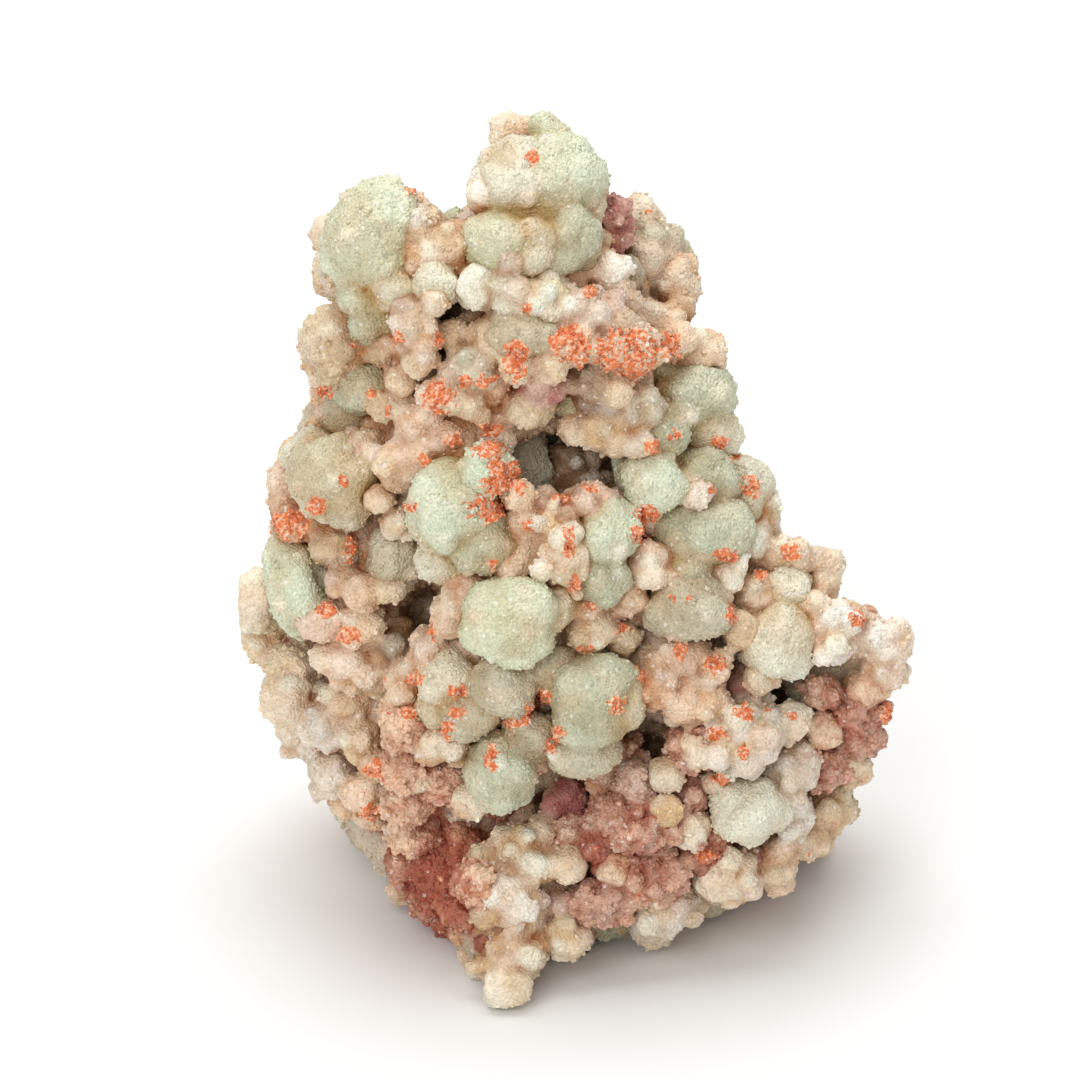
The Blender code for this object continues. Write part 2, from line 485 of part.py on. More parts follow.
def add_front_lumps(bm, core_tree):
    """The lumps of the front, each sunk a little into the surface. Returns their centres and sizes."""
    placed = []
    face_turn = Matrix.Rotation(-FACE_TILT, 3, "X")
    for kind, right, up, lift, half_width, half_height, roll in FRONT_LUMPS:
        half_depth = (half_width + half_height) / 2.0
        near = face_near(right, up) + lift - SINK * half_depth
        turn = face_turn @ Matrix.Rotation(math.radians(-roll), 3, "Y")
        centre = face_point(right, up, near)
        low = FLOOR_CLEAR * half_height - centre.z
        if low > 0.0:
            centre += face_axes()[2] * (low / math.sin(FACE_TILT))
        add_lump(bm, kind, centre, (half_width, half_depth, half_height), turn)
        add_stem(bm, centre, half_depth, core_tree)
        placed.append((centre, half_depth))
    return placed


def in_hollow(point):
    """Whether a point is in or close to one of the hollows."""
    axes = face_axes()
    for right, up, near, half_width, half_height, half_depth in HOLLOWS:
        away = point - face_point(right, up, near)
        halves = (half_width, half_height, half_depth)
        shares = (away.dot(axis) / (half + HOLLOW_CLEAR) for axis, half in zip(axes, halves))
        if sum(share * share for share in shares) < 1.0:
            return True
    return False


def add_fill_lumps(bm, core, core_tree, placed):
    """Lumps over the back and sides and in the gaps of the front, wherever the inner mass is still bare."""
    draw = random.Random(FILL_SEED)
    faces = core.faces[:]
    areas = [face.calc_area() for face in faces]
    for face in draw.choices(faces, areas, k=FILL_TRIES):
        middle, normal = face.calc_center_median(), face.normal
        pick = draw.random()
        if pick < NODULE_SHARE:
            kind, size = NODULE, draw.uniform(*NODULE_SIZES)
        elif middle.z < CLAY_TOP and pick < NODULE_SHARE + CLAY_SHARE:
            kind, size = CLAY, draw.uniform(*CLAY_SIZES)
        else:
            kind, size = CRYSTAL, draw.uniform(*CRYSTAL_SIZES)
        centre = middle + normal * draw.uniform(*FILL_LIFT)
        radii = [size * draw.uniform(*FILL_STRETCH) for _ in range(3)]
        spin = Matrix.Rotation(draw.uniform(0.0, math.pi), 3, normal)
        near_one = any((centre - other).length < FILL_SPACING * (size + reach) for other, reach in placed)
        if near_one or centre.z < size / 2.0 or in_hollow(centre) or not in_outline(centre, size):
            continue
        add_lump(bm, kind, centre, radii, spin)
        placed.append((centre, size))


def new_object(name, bm, collection):
    """A mesh object from a bmesh in millimetres, with its scale in its points."""
    bmesh.ops.scale(bm, vec=(MM, MM, MM), verts=bm.verts)
    mesh = bpy.data.meshes.new(name)
    bm.to_mesh(mesh)
    bm.free()
    obj = bpy.data.objects.new(name, mesh)
    collection.objects.link(obj)
    return obj


def hide_cutter(obj):
    obj.hide_render = True
    obj.display_type = "WIRE"
    return obj


def add_fuse(obj, size):
    fuse = obj.modifiers.new("fuse", "REMESH")
    fuse.mode = "VOXEL"
    fuse.voxel_size = size * MM
    fuse.use_smooth_shade = False


def add_cut(obj, cutter):
    cut = obj.modifiers.new("cut", "BOOLEAN")
    cut.operation = "DIFFERENCE"
    cut.object = cutter


def evaluated_mesh(obj):
    """The object's mesh with its modifiers, and the object removed."""
    graph = bpy.context.evaluated_depsgraph_get()
    mesh = bpy.data.meshes.new_from_object(obj.evaluated_get(graph))
    bpy.data.objects.remove(obj)
    return mesh


def keep_largest_piece(mesh):
    """Removes what the lumps leave loose beside the one big piece, or shut in inside it."""
    bm = bmesh.new()
    bm.from_mesh(mesh)
    left = set(bm.verts)
    pieces = []
    while left:
        edge = [left.pop()]
        piece = set(edge)
        while edge:
            for link in edge.pop().link_edges:
                for vert in link.verts:
                    if vert in left:
                        left.remove(vert)
                        piece.add(vert)
                        edge.append(vert)
        pieces.append(piece)
    pieces.sort(key=len)
    loose = [vert for piece in pieces[:-1] for vert in piece]
    bmesh.ops.delete(bm, geom=loose, context="VERTS")
    bm.to_mesh(mesh)
    bm.free()


def make_core(collection, cutters):
    """The inner mass, fused and hollowed, as a mesh in metres."""
    bm = bmesh.new()
    for centre, radii in CORE:
        add_ball(bm, FINE, stretched(radii), Matrix.Identity(3), Vector(centre))
    core = new_object("core", bm, collection)
    add_fuse(core, CORE_FUSE_SIZE)
    hollows = bmesh.new()
    face_turn = Matrix.Rotation(-FACE_TILT, 3, "X")
    for right, up, near, half_width, half_height, half_depth in HOLLOWS:
        radii = (half_width, half_depth, half_height)
        add_ball(hollows, FINE, stretched(radii), face_turn, face_point(right, up, near))
    cutter = hide_cutter(new_object("hollows", hollows, cutters))
    add_cut(core, cutter)
    bpy.context.view_layer.update()
    return evaluated_mesh(core)


def stone_material():
    """Cream and pale green stone with a sugary surface."""
    material = bpy.data.materials.new("boracite")
    material.use_nodes = True
    shader = material.node_tree.nodes["Principled BSDF"]
    shader.inputs["Base Color"].default_value = STONE_COLOUR
    shader.inputs["Roughness"].default_value = STONE_ROUGHNESS
    material.diffuse_color = STONE_COLOUR
    return material


def new_collection(name):
    collection = bpy.data.collections.new(name)
    bpy.context.scene.collection.children.link(collection)
    return collection


def main():
    for obj in list(bpy.data.objects):
        bpy.data.objects.remove(obj, do_unlink=True)
    parts = new_collection(NAME)
    cutters = new_collection("cutters")

    core = make_core(parts, cutters)
    bm = bmesh.new()
    bm.from_mesh(core)
    bmesh.ops.scale(bm, vec=(1.0 / MM,) * 3, verts=bm.verts)
    core_tree = BVHTree.FromBMesh(bm)
    bare = bm.copy()
    placed = add_front_lumps(bm, core_tree)
    add_fill_lumps(bm, bare, core_tree, placed)
    bare.free()
    bmesh.ops.translate(bm, verts=bm.verts, vec=ORIGIN_SHIFT)
    lumps = new_object("lumps", bm, parts)
    add_fuse(lumps, FUSE_SIZE)
    bpy.context.view_layer.update()
    fused = evaluated_mesh(lumps)
    keep_largest_piece(fused)
    cluster = bpy.data.objects.new(NAME, fused)
    parts.objects.link(cluster)

    floor = bmesh.new()
    bmesh.ops.create_cube(floor, size=2.0 * FLOOR_MARGIN)
    bmesh.ops.translate(floor, verts=floor.verts, vec=(0.0, 0.0, -FLOOR_MARGIN))
    cutter = hide_cutter(new_object("floor", floor, cutters))

    soften = cluster.modifiers.new("soften", "SMOOTH")
    soften.iterations = SOFTEN_TIMES
    thin = cluster.modifiers.new("thin", "DECIMATE")
    thin.ratio = TRIANGLE_SHARE
    add_cut(cluster, cutter)
    cluster.data.materials.append(stone_material())


main()
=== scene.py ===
import math
import random
from functools import partialmethod

import bmesh
import bpy
import numpy as np
from mathutils import Matrix, Vector, noise
from mathutils.bvhtree import BVHTree


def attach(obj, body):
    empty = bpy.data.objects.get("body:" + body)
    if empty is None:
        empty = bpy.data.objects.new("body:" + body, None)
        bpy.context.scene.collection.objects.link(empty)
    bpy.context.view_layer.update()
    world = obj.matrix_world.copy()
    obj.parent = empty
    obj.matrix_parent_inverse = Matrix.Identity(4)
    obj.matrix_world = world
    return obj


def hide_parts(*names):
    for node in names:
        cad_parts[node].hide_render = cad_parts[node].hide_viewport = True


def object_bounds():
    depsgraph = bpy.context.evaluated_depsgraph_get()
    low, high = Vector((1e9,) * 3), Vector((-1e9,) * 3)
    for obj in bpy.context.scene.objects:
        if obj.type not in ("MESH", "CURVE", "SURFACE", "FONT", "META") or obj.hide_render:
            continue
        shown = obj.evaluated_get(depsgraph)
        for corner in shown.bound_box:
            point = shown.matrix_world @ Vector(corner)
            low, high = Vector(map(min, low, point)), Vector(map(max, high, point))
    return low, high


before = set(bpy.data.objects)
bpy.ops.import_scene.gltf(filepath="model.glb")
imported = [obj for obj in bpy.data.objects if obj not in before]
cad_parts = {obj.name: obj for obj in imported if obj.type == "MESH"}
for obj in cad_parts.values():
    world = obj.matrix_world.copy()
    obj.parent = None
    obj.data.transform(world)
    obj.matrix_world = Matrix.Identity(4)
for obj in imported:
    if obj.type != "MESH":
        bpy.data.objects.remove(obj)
solidBounds = [list(corner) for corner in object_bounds()]

# Sizes are in millimetres on the leaning face of the cluster: right and up lie in it, near stands out of it.
mm = 0.001
node = "boracite_cluster"
body = "root"

face = {
    "tilt": math.radians(30.0),
    "height": 40.0,
    "fall": 22.0,
    "outlineSteps": (-0.8, 0.0, 0.8),
    "notch": (-9.8, 2.4, 31.2),  # beside the top: middle, half width and lowest point
    "notchRoom": 0.6,
    "shift": Vector((-3.45, -0.33, 0.0)),  # puts the origin under the middle of the cluster
    "past": 0.4,  # share kept of what stands out of the solids' box
}

# The front, from the foot to the top: up, left edge, right edge, near in the middle
faceProfile = [
    (-46.3, -5.5, -1, 1),
    (-43.5, -6.5, 0.2, 0.5),
    (-40.5, -7.5, 8, -0.5),
    (-38.5, -10, 14.5, -1),
    (-36, -14.5, 20, 0),
    (-33, -14.8, 26, 1.5),
    (-30, -15.5, 30, 3.5),
    (-26, -21.5, 30.8, 6),
    (-22, -23.5, 32.8, 8),
    (-19, -25.7, 34.5, 9.5),
    (-15, -26.8, 36, 10.5),
    (-11, -27.6, 37.4, 11.5),
    (-8, -29.4, 36, 12.5),
    (-6, -29.5, 30.8, 13),
    (-2, -28.2, 30, 14),
    (0, -27.4, 25.5, 14.5),
    (4, -27, 23, 16),
    (8, -26, 21.7, 17),
    (12, -22.2, 18.9, 18),
    (16, -22.2, 19, 19),
    (19, -24, 18, 20),
    (22, -22.7, 14.3, 20.5),
    (26, -22, 15, 21),
    (30, -22.5, 13.2, 21),
    (33, -21.7, 11.2, 20.5),
    (36.3, -18.5, 6.4, 19.5),
    (38, -5.8, 5.8, 19),
    (42.4, -5, 2, 17),
]

# The inner mass: centre, then radii
coreBalls = [
    ((4, 5, 7), (24, 18, 10)),
    ((4, 4, 20), (26, 16, 14)),
    ((0, 3, 36), (21, 14, 14)),
    ((-2, 4, 52), (17, 11, 13)),
    ((-4, 4, 64), (14, 8.5, 10)),
    ((1, 5.5, 74), (5, 5, 8)),
    ((8.5, 9, 60), (5, 5, 7)),
    ((25, 2, 23), (8, 8, 7.5)),
    ((-18, 10, 24), (6.5, 8, 15)),
    ((-20, 4, 42), (5.5, 6.5, 12)),
    ((-16, 1.5, 70), (4, 4, 5)),
    ((-4, -17, 6), (4, 5, 7.5)),
]

coreFineness = 1.5

# Hollows: right, up, near, then half width, half height and half depth
hollows = [
    (2, 7.3, 9, 6.3, 4.3, 11),
    (8.2, -11.4, 6, 2.4, 2.6, 9),
    (11, -20.5, 3, 2.3, 2.4, 8),
    (23, -15.8, 2, 5, 1.8, 8),
    (-11.5, -7.6, 6, 3, 3.6, 8),
    (3, -26, 2, 4.2, 2.8, 8),
    (-8.8, 21, 15, 1.8, 4.2, 4.5),
    (17, -26.5, 0, 1.6, 2.4, 7),
]

nodule, crystal, clay = "nodule", "crystal", "clay"

# Lumps on the front: kind, tint, right, up, lift, half width, half height and, if rolled, by how many degrees
frontLumps = [
    # the crown
    (nodule, "mint", 1.2, 35.6, 2.3, 5, 4.7, 15),
    (nodule, "pale", 4.5, 36, -0.4, 2, 4.2, 20),
    (nodule, "pale", -2.8, 35.4, 0.2, 3.6, 4.8, -8),
    (crystal, "cream", -3.3, 40.7, -0.6, 1.7, 1.8),
    (nodule, "mint", 0.8, 40.4, -0.2, 2.2, 1.9, -35),
    (crystal, "white", -5.4, 35, -0.6, 1.3, 3, -14),
    (nodule, "green", 2.4, 30, 0.3, 3.8, 3.8),
    (nodule, "mint", -3.7, 29.5, 0.2, 3.8, 3.6),
    (nodule, "pale", -0.6, 29.4, 0.9, 2.6, 3.2),
    (crystal, "pale", -2.8, 27.8, 1, 1.3, 1.3),
    (nodule, "pale", 4.6, 32.6, 0, 1.7, 2.6),
    (crystal, "tan", -8.5, 28.9, -2, 2, 2.7),
    (crystal, "tan", -7.2, 30.2, -2.4, 1.2, 1.4),
    (crystal, "pale", -6, 25, -0.4, 1.9, 2.3),
    # the dome on the left
    (nodule, "mint", -16.6, 30, 2.4, 5.2, 5.9, 10),
    (nodule, "mint", -16.9, 24.9, 1.2, 3, 3.6),
    (nodule, "green", -16.5, 22.2, 0, 2.5, 2.3),
    (crystal, "cream", -21, 30.3, 2.4, 1.6, 1.8, 20),
    (crystal, "tan", -12.6, 31.2, -1.6, 2.8, 2.8, -20),
    (crystal, "tan", -21.2, 26.2, 0.6, 1.3, 2.2),
    (crystal, "pale", -19.2, 22.8, 0, 1.1, 1.6),
    (crystal, "cream", -11.6, 27.8, -0.2, 2.2, 2.2),
    (nodule, "pale", -14.2, 25, 1.6, 2.3, 2.4),
    (nodule, "pale", -10.2, 25.4, 0.4, 2.3, 2.1),
    (crystal, "pale", -13, 22.4, 1.2, 1.9, 2.1),
    (crystal, "cream", -11.6, 20.4, 1, 1.7, 1.9),
    (crystal, "cream", -11.7, 17.9, 1, 1.6, 1.5),
    (crystal, "cream", -10.4, 23.8, 1.2, 1.4, 1.2),
    (crystal, "cream", -13.8, 15.8, 0.8, 1.2, 1.7),
    (crystal, "tan", -20.5, 19.6, 1.6, 3.3, 3.3),
    (crystal, "tan", -21.9, 17.4, 1.8, 2, 1.7),
    (crystal, "peach", -22.7, 20.1, 1.6, 1.2, 1.2),
    (crystal, "tan", -16.4, 19.3, -3, 2.7, 1.8),
    (crystal, "tan", -15, 19.4, -1.6, 1.5, 1.4),
    # the left side
    (nodule, "green", -17.2, 14.8, -0.6, 3.7, 2.8),
    (crystal, "peach", -21.2, 14.6, 2, 1.3, 1.2),
    (nodule, "sage", -19.3, 12.2, 0.2, 2.8, 2),
    (crystal, "tan", -15.6, 13.4, 1, 1.4, 1.3),
    (nodule, "hay", -20.4, 6.4, 2.6, 4.8, 4.3, -10),
    (nodule, "pale", -22.6, 8.9, 2.2, 3.4, 2.1, 15),
    (crystal, "tan", -17.4, 8.6, -0.6, 2.7, 2.5),
    (nodule, "sage", -19, 3, 1.6, 2.6, 2.1),
    (crystal, "cream", -25.6, 6.1, 3, 1.4, 1.7),
    (crystal, "peach", -25.4, 3.5, 2, 1.8, 1.4),
    (crystal, "peach", -24, 1.4, 1.4, 2.3, 1.4),
    (crystal, "cream", -16, 4.1, 0.6, 1.2, 1.2),
    (nodule, "mint", -24.6, -4.4, 2, 2.7, 5.6, 10),
    (crystal, "cream", -28.4, -5.8, 4, 1.7, 3),
    (crystal, "tan", -27.6, -9.6, 2.4, 1.9, 2.4),
    (crystal, "tan", -20.5, -0.6, -0.8, 2.4, 2.2),
    (crystal, "tan", -22.4, 1.4, 0, 1.8, 1.4),
    (nodule, "sage", -14.6, -1.6, -2.4, 2.9, 3.2),
    (crystal, "cream", -14.2, 2, -0.8, 1.8, 1.5, -30),
    (crystal, "peach", -19.6, -4.2, -0.6, 2, 1.7),
    (crystal, "peach", -17.4, -5.6, -0.6, 1.6, 1.6),
    (crystal, "cream", -14.8, -4.9, -1.2, 1.2, 1.2),
    (crystal, "peach", -21.4, -8, 0.6, 2.6, 1.9),
    (crystal, "peach", -18.3, -8.6, -0.4, 2.3, 2),
    (crystal, "peach", -19, -12.2, -0.2, 3.5, 2.3),
    # painted shade: a recessed lump in the dark shade brown
    (crystal, "umber", -14.6, -10.6, -3.6, 2.6, 3),
    (crystal, "tan", -16.4, -13.2, -1.4, 1.9, 2.3),
    (crystal, "cream", -24.8, -14.6, 1, 2.5, 4.4),
    (crystal, "grey", -24.2, -19.4, 2.4, 2, 2.6),
    (crystal, "grey", -21.2, -18, -0.6, 2.3, 3.2),
    (crystal, "tan", -18.8, -16, -2.2, 2.8, 2.2),
    (crystal, "grey", -21, -23, 1.8, 2.2, 2.6),
    (crystal, "tan", -18, -20, -1, 2, 2),
    (crystal, "peach", -17.4, -25, 0.4, 2.4, 1.9),
    (crystal, "peach", -16.4, -22.4, -0.4, 1.5, 1.5),
    (crystal, "tan", -19.4, -26.4, 2.4, 1.7, 1.4),
    (crystal, "peach", -16.8, -27.6, 1.4, 1.5, 1.3),
    # the column of clay and the foot
    (crystal, "peach", -11, -11, 0.2, 1.7, 3, -20),
    (crystal, "peach", -13.2, -14.2, 0.2, 2, 2.6),
    (clay, "coral", -13.4, -18.6, 0.8, 2.4, 2.6),
    (clay, "coral", -13, -22.6, 1.2, 2.8, 2.6),
    (clay, "coral", -9.4, -24.2, -0.6, 2.5, 2.3),
    (clay, "coral", -13.4, -26.4, 1.6, 2.4, 2.3),
    (clay, "coral", -12.4, -29.6, 1.4, 2.7, 2.2),
    (clay, "rust", -13.2, -32.2, 2.6, 2.1, 2.4),
    (clay, "rust", -10.4, -33.2, 0.4, 2.5, 2.5),
    (crystal, "cream", -13.7, -35.2, 2.6, 1.5, 1.5),
    (clay, "rust", -10.6, -36.4, 1.6, 2, 1.9),
    (clay, "rust", -8.2, -38.2, 1, 2.4, 1.9),
    (clay, "rust", -7.4, -31, -0.8, 1.7, 2.9),
    (clay, "rust", -8.4, -34.6, -0.4, 1.7, 1.7),
    (crystal, "tan", -5, -32.6, 3, 2.6, 2.1, 20),
    (crystal, "cream", -2.5, -30.6, 1.8, 2.6, 2.1),
    (crystal, "cream", 0, -29.6, -1, 1.5, 1.5),
    (crystal, "cream", -0.8, -32.4, 2.2, 1.9, 1.9),
    (crystal, "white", -2.7, -36.3, 4.6, 3.2, 2.8),
    (crystal, "cream", -3.2, -39.4, 4.6, 2.3, 2),
    (crystal, "tan", -3.8, -42.2, 3, 2.9, 1.9),
    (crystal, "cream", -3.3, -44.7, 2.4, 2.1, 1.6),
    (crystal, "tan", -1, -41.4, 2.4, 1.4, 1.6),
    (crystal, "tan", -5.8, -41, 3, 1.4, 1.9),
    # the centre, round the large hollow
    (crystal, "peach", -9.8, 14.4, 0.2, 2.3, 1.7),
    (crystal, "peach", -12, 11.4, 0.2, 2.4, 2.3),
    (crystal, "cream", -7.4, 13.9, -0.6, 2.1, 1.5),
    (crystal, "cream", -5.9, 12.4, -1, 1, 1),
    (crystal, "peach", -13, 8, 0.4, 2.7, 2.1),
    (crystal, "peach", -9.8, 9.9, -0.4, 2.1, 1.5),
    (crystal, "peach", -14.5, 6.4, 0.4, 1.7, 1.3),
    (nodule, "mint", -9, 3.4, 2.2, 4.2, 5.4),
    (nodule, "mint", -5.6, 6.8, 1.6, 2.8, 2.7),
    (nodule, "green", -5.4, -0.6, 1.8, 3.7, 3.1),
    (nodule, "pale", -10, -2, 1.4, 2.4, 2.1),
    (crystal, "peach", -2, 4.3, 1, 1.5, 1.4),
    (crystal, "peach", -1.6, 1.4, 0.8, 1.8, 1.7),
    (crystal, "tan", -2.8, -2.2, 1.6, 2.1, 1.7),
    (crystal, "peach", -7, -4.9, 1, 2.9, 1.7),
    (crystal, "peach", -8.9, -7.4, 1, 1.5, 2.3),
    (nodule, "fresh", -3, -8, 4.4, 5.5, 4.5),
    (nodule, "pale", 1.6, -6.2, 1.4, 2, 2.6),
    (crystal, "cream", 2.2, -0.6, 2.4, 2.8, 4.8, 18),
    (nodule, "mint", 6.4, 1, 2, 3.2, 3.7, 20),
    (nodule, "green", 6, -3.6, 1.2, 3, 2.8),
    (crystal, "blush", 4.6, 3.6, 0.8, 2.9, 1.5),
    (crystal, "blush", 0.6, 3.6, -0.6, 2, 1.3),
    (crystal, "white", 0, -3, 3.8, 0.9, 0.9),
    (crystal, "peach", 11, -2.6, 0, 2.6, 2.4),
    (crystal, "peach", 8.4, -5.6, -0.4, 2.1, 1.9),
    (crystal, "tan", 5, -9.2, -0.8, 2.3, 2.3),
    (crystal, "tan", 8.2, -10, -2, 1.4, 1.4),
    (crystal, "peach", 4.8, -6.8, 0.2, 1.5, 1.1),
    (nodule, "sage", -1.8, 8, -9.6, 2.8, 4.6),
    # painted shade: a lump deep in the hollow in the dark shade brown
    (crystal, "umber", 3.6, 6.6, -10.6, 3, 3.6),
    # the brow over the hollow
    (crystal, "pale", -0.4, 24.2, 0.2, 4.2, 2.3),
    (crystal, "blush", 4.2, 22.4, 0.4, 4.6, 2.7),
    (nodule, "sage", -1.6, 20.4, 0.6, 3.5, 3.1),
    (crystal, "peach", 3, 19.5, 0.8, 2.7, 2.1),
    (crystal, "peach", 8.6, 19, 0.8, 3.4, 2.9),
    (crystal, "cream", 7.9, 24.2, -1, 1.9, 1.7),
    (crystal, "cream", 11.2, 22, -0.6, 3.1, 1.8),
    (crystal, "peach", 13.2, 19.8, 0, 1.8, 2),
    (crystal, "peach", 15.8, 19, 0.6, 2.4, 2.3, -20),
    (crystal, "tan", -4.8, 20.2, -1.2, 2.5, 2.2),
    (crystal, "tan", -8.6, 20.4, -1.8, 1.4, 1.3),
    (crystal, "sage", -6.4, 17.4, -0.8, 3, 2.3),
    (crystal, "cream", -2.4, 17.4, 0.6, 1.9, 1.6),
    (crystal, "cream", 1, 17.2, 1.2, 1.2, 1.2),
    (crystal, "mauve", 0, 15.4, -1, 2.3, 1.6),
    (crystal, "tan", -1, 13.4, -2.4, 2.4, 1.7),
    # painted shade: a recessed lump in the dark shade brown
    (crystal, "umber", 6, 15.4, -1.2, 3.6, 2.7),
    (crystal, "cream", 7.7, 14.7, 1, 1, 1.1),
    (crystal, "tan", 3.4, 11, -2.4, 1.5, 1.3),
    (crystal, "tan", 5.5, 10.8, -0.8, 1.3, 1.3),
    (crystal, "tan", 7.6, 10.6, -0.4, 2.5, 2.2),
    (crystal, "white", 9.7, 9.6, 1, 1, 1.3),
    (crystal, "sage", 10, 13.2, 0, 2.8, 2.8),
    # the right side
    (crystal, "sage", 10.6, 28.4, -6, 3.9, 4, 30),
    (crystal, "cream", 10.1, 32.4, -6, 1.9, 2.2),
    (clay, "mauve", 7.3, 31.2, -1.2, 2.1, 2.7),
    (crystal, "cream", 13.6, 25.6, 0, 2.1, 2.6),
    (crystal, "cream", 14.9, 27.4, 8, 1, 1.1),
    (crystal, "cream", 14.3, 23.4, 6, 1.2, 1.2),
    (nodule, "sage", 8.2, 26.6, -5.4, 2.2, 1.8),
    (nodule, "green", 15, 14, 0.6, 4.2, 3.5),
    (nodule, "mint", 17.6, 15, 1.8, 1.9, 2),
    (nodule, "green", 12, 11, 0.4, 2.9, 2.7),
    (nodule, "pale", 16.6, 10.8, 1.6, 3, 2.6),
    (nodule, "mint", 11, 6, 0.6, 3.6, 3.1),
    (nodule, "green", 16, 6, 1.6, 4.1, 3.4),
    (nodule, "pale", 20.6, 5, 3.6, 2.6, 3.5, 15),
    (nodule, "green", 15.8, 0.8, 1, 5.1, 4),
    (crystal, "pale", 20.2, 0, 0.4, 3, 3),
    (crystal, "white", 15.5, 4.5, 3.2, 1.1, 1.1),
    (nodule, "green", 14.4, -2.6, -0.6, 3.1, 2),
    (crystal, "pale", 18, -3, -0.6, 2.5, 1.9),
    (crystal, "pale", 22.2, 2.4, 3.4, 1.4, 2.5),
    (nodule, "sage", 14.8, -6.8, 1.6, 4.6, 3.3),
    (crystal, "cream", 25, -1.4, 3.2, 2.5, 1.6),
    (crystal, "white", 28.4, -2.3, 5.2, 2.2, 1.5, -12),
    (nodule, "pale", 24.4, -4.6, 2, 2.9, 2.2),
    (crystal, "cream", 28, -5, 3.6, 1.8, 1.5),
    (crystal, "tan", 21.4, -5.2, 0.4, 2, 1.8),
    (crystal, "white", 28.9, -9.4, 3.2, 2.8, 3.1),
    (nodule, "pale", 24, -10, 1.4, 4.1, 3.9),
    (crystal, "cream", 26.2, -6.9, 2.4, 2.6, 1.4),
    (crystal, "cream", 22, -13.8, 0.6, 1.4, 1.7),
    (crystal, "tan", 20, -9, 0, 1.7, 1.9),
    (crystal, "white", 33.4, -10.6, 5, 2.1, 2.4),
    (crystal, "white", 35.7, -10.2, 9, 1.5, 2.3, -15),
    (crystal, "white", 34.4, -13.1, 7, 2.3, 1.6),
    (crystal, "peach", 31.4, -8.2, 4, 1.3, 1.4),
    (crystal, "peach", 32.8, -15, 5.4, 2.1, 1.5),
    (clay, "pink", 31.8, -17.2, 4.6, 2.8, 2.3),
    (clay, "pink", 28.4, -15.2, 1.2, 2.1, 1.7),
    (clay, "pink", 31.8, -19.4, 4.8, 2.3, 1.9),
    (crystal, "peach", 28.4, -19, 2.2, 1.9, 2.1),
    (crystal, "cream", 24.6, -18.4, 1.2, 2.5, 1.7),
    (crystal, "tan", 31, -22.4, 4.8, 1.9, 2.4),
    (clay, "pink", 28.4, -22.6, 2.2, 2.4, 2.4),
    (crystal, "tan", 28.9, -26.8, 4.6, 2.1, 2.8),
    (crystal, "tan", 30.6, -27, 6.8, 0.9, 1.5),
    (crystal, "tan", 27.4, -30.2, 5.2, 2.2, 1.4),
    # low on the right
    (crystal, "grey", 20.2, -19.4, 1.4, 3.5, 3.7),
    (crystal, "grey", 25, -23, 1.8, 2.4, 3.5, -10),
    (crystal, "grey", 25.4, -27.8, 3, 1.9, 2.5),
    (nodule, "pale", 21, -27.2, 4.2, 3.7, 3.6),
    (crystal, "peach", 15, -16, 0, 3.5, 2.5),
    (crystal, "peach", 11.6, -14.4, 0.2, 2.3, 2.7),
    (crystal, "peach", 14.5, -11.6, -0.6, 2.2, 1.9),
    (crystal, "peach", 17.5, -12.6, 0.2, 1.5, 1.4),
    (crystal, "mauve", 19.4, -14.6, -3.6, 2.6, 1.9),
    (clay, "pink", 15, -20.4, -0.2, 2.5, 2.6),
    (crystal, "cream", 15.7, -21.2, 1.6, 1.7, 1.5),
    (crystal, "cream", 12.5, -23.5, 0.2, 1.1, 1.1),
    (clay, "blush", 9.5, -24.2, -0.6, 2, 1.9),
    (clay, "pink", 15, -25.2, -0.6, 1.6, 1.9),
    (clay, "pink", 10.2, -28.4, 0.6, 4.4, 2.8),
    (crystal, "cream", 12.5, -27, 1.8, 1.1, 1.1),
    (crystal, "cream", 15, -29, 1.4, 2.3, 1.3, 15),
    (clay, "pink", 17.2, -29.6, 0, 1.3, 1.3),
    (crystal, "grey", 17, -24.2, 0.4, 1, 1),
    (clay, "mauve", 5.8, -31, 0, 1.9, 1.6),
    (crystal, "cream", 2.8, -32.3, 1.6, 2, 1.7),
    (crystal, "cream", 7.3, -33, 1.6, 1, 1),
    (clay, "pink", 10, -33.6, 0.8, 4.2, 2.8),
    (clay, "pink", 6, -36.4, 2.4, 3.3, 2.2),
    (crystal, "grey", 12, -36.6, 3.6, 3.3, 3),
    (crystal, "cream", 18.8, -33.8, 5.5, 3.3, 2.9),
    (crystal, "peach", 23.4, -32.4, 5.5, 2.1, 2.9),
    (clay, "rust", 16.2, -31.4, 0.4, 2.6, 1.6),
    (crystal, "tan", 2.6, -39.8, 2.4, 2.2, 1.9),
    (crystal, "blush", 1.5, -36.4, -0.6, 2.1, 2.3),
    (crystal, "grey", 11, -38.8, 3, 2, 1.4),
    (crystal, "mauve", 2.6, -26, -6.2, 2.4, 2.1),
    (clay, "pink", 3.6, -29.4, -1.6, 2, 1.8),
    (clay, "pink", 5.6, -28.2, -1.4, 1.3, 1.3),
    (clay, "pink", 20.6, -31.6, 1, 1.8, 1.2),
    # the nodules low in the front
    (nodule, "pale", -9.2, -13.8, 1.4, 3.2, 3.1),
    (nodule, "sage", -4, -14.4, 2, 3.5, 3),
    (nodule, "pale", -10.4, -16.2, 0.8, 2, 2.6),
    (nodule, "sage", -7, -17.2, 1.4, 3.6, 2.6),
    (nodule, "green", 5.2, -16, 2.2, 4.7, 5),
    (nodule, "sage", 2, -13.8, 0.6, 2.4, 2.9),
    (nodule, "pale", 8.2, -16, 1.4, 2.6, 3.2),
    (nodule, "sage", 4.2, -21.4, 1.4, 3.7, 2.4),
    (nodule, "green", -4, -23, 2.8, 3.7, 4.1, 20),
    (nodule, "sage", -0.8, -19.6, 0.2, 3.1, 2.2, -30),
    (crystal, "tan", -8.4, -20.6, 0.4, 1.9, 1.9),
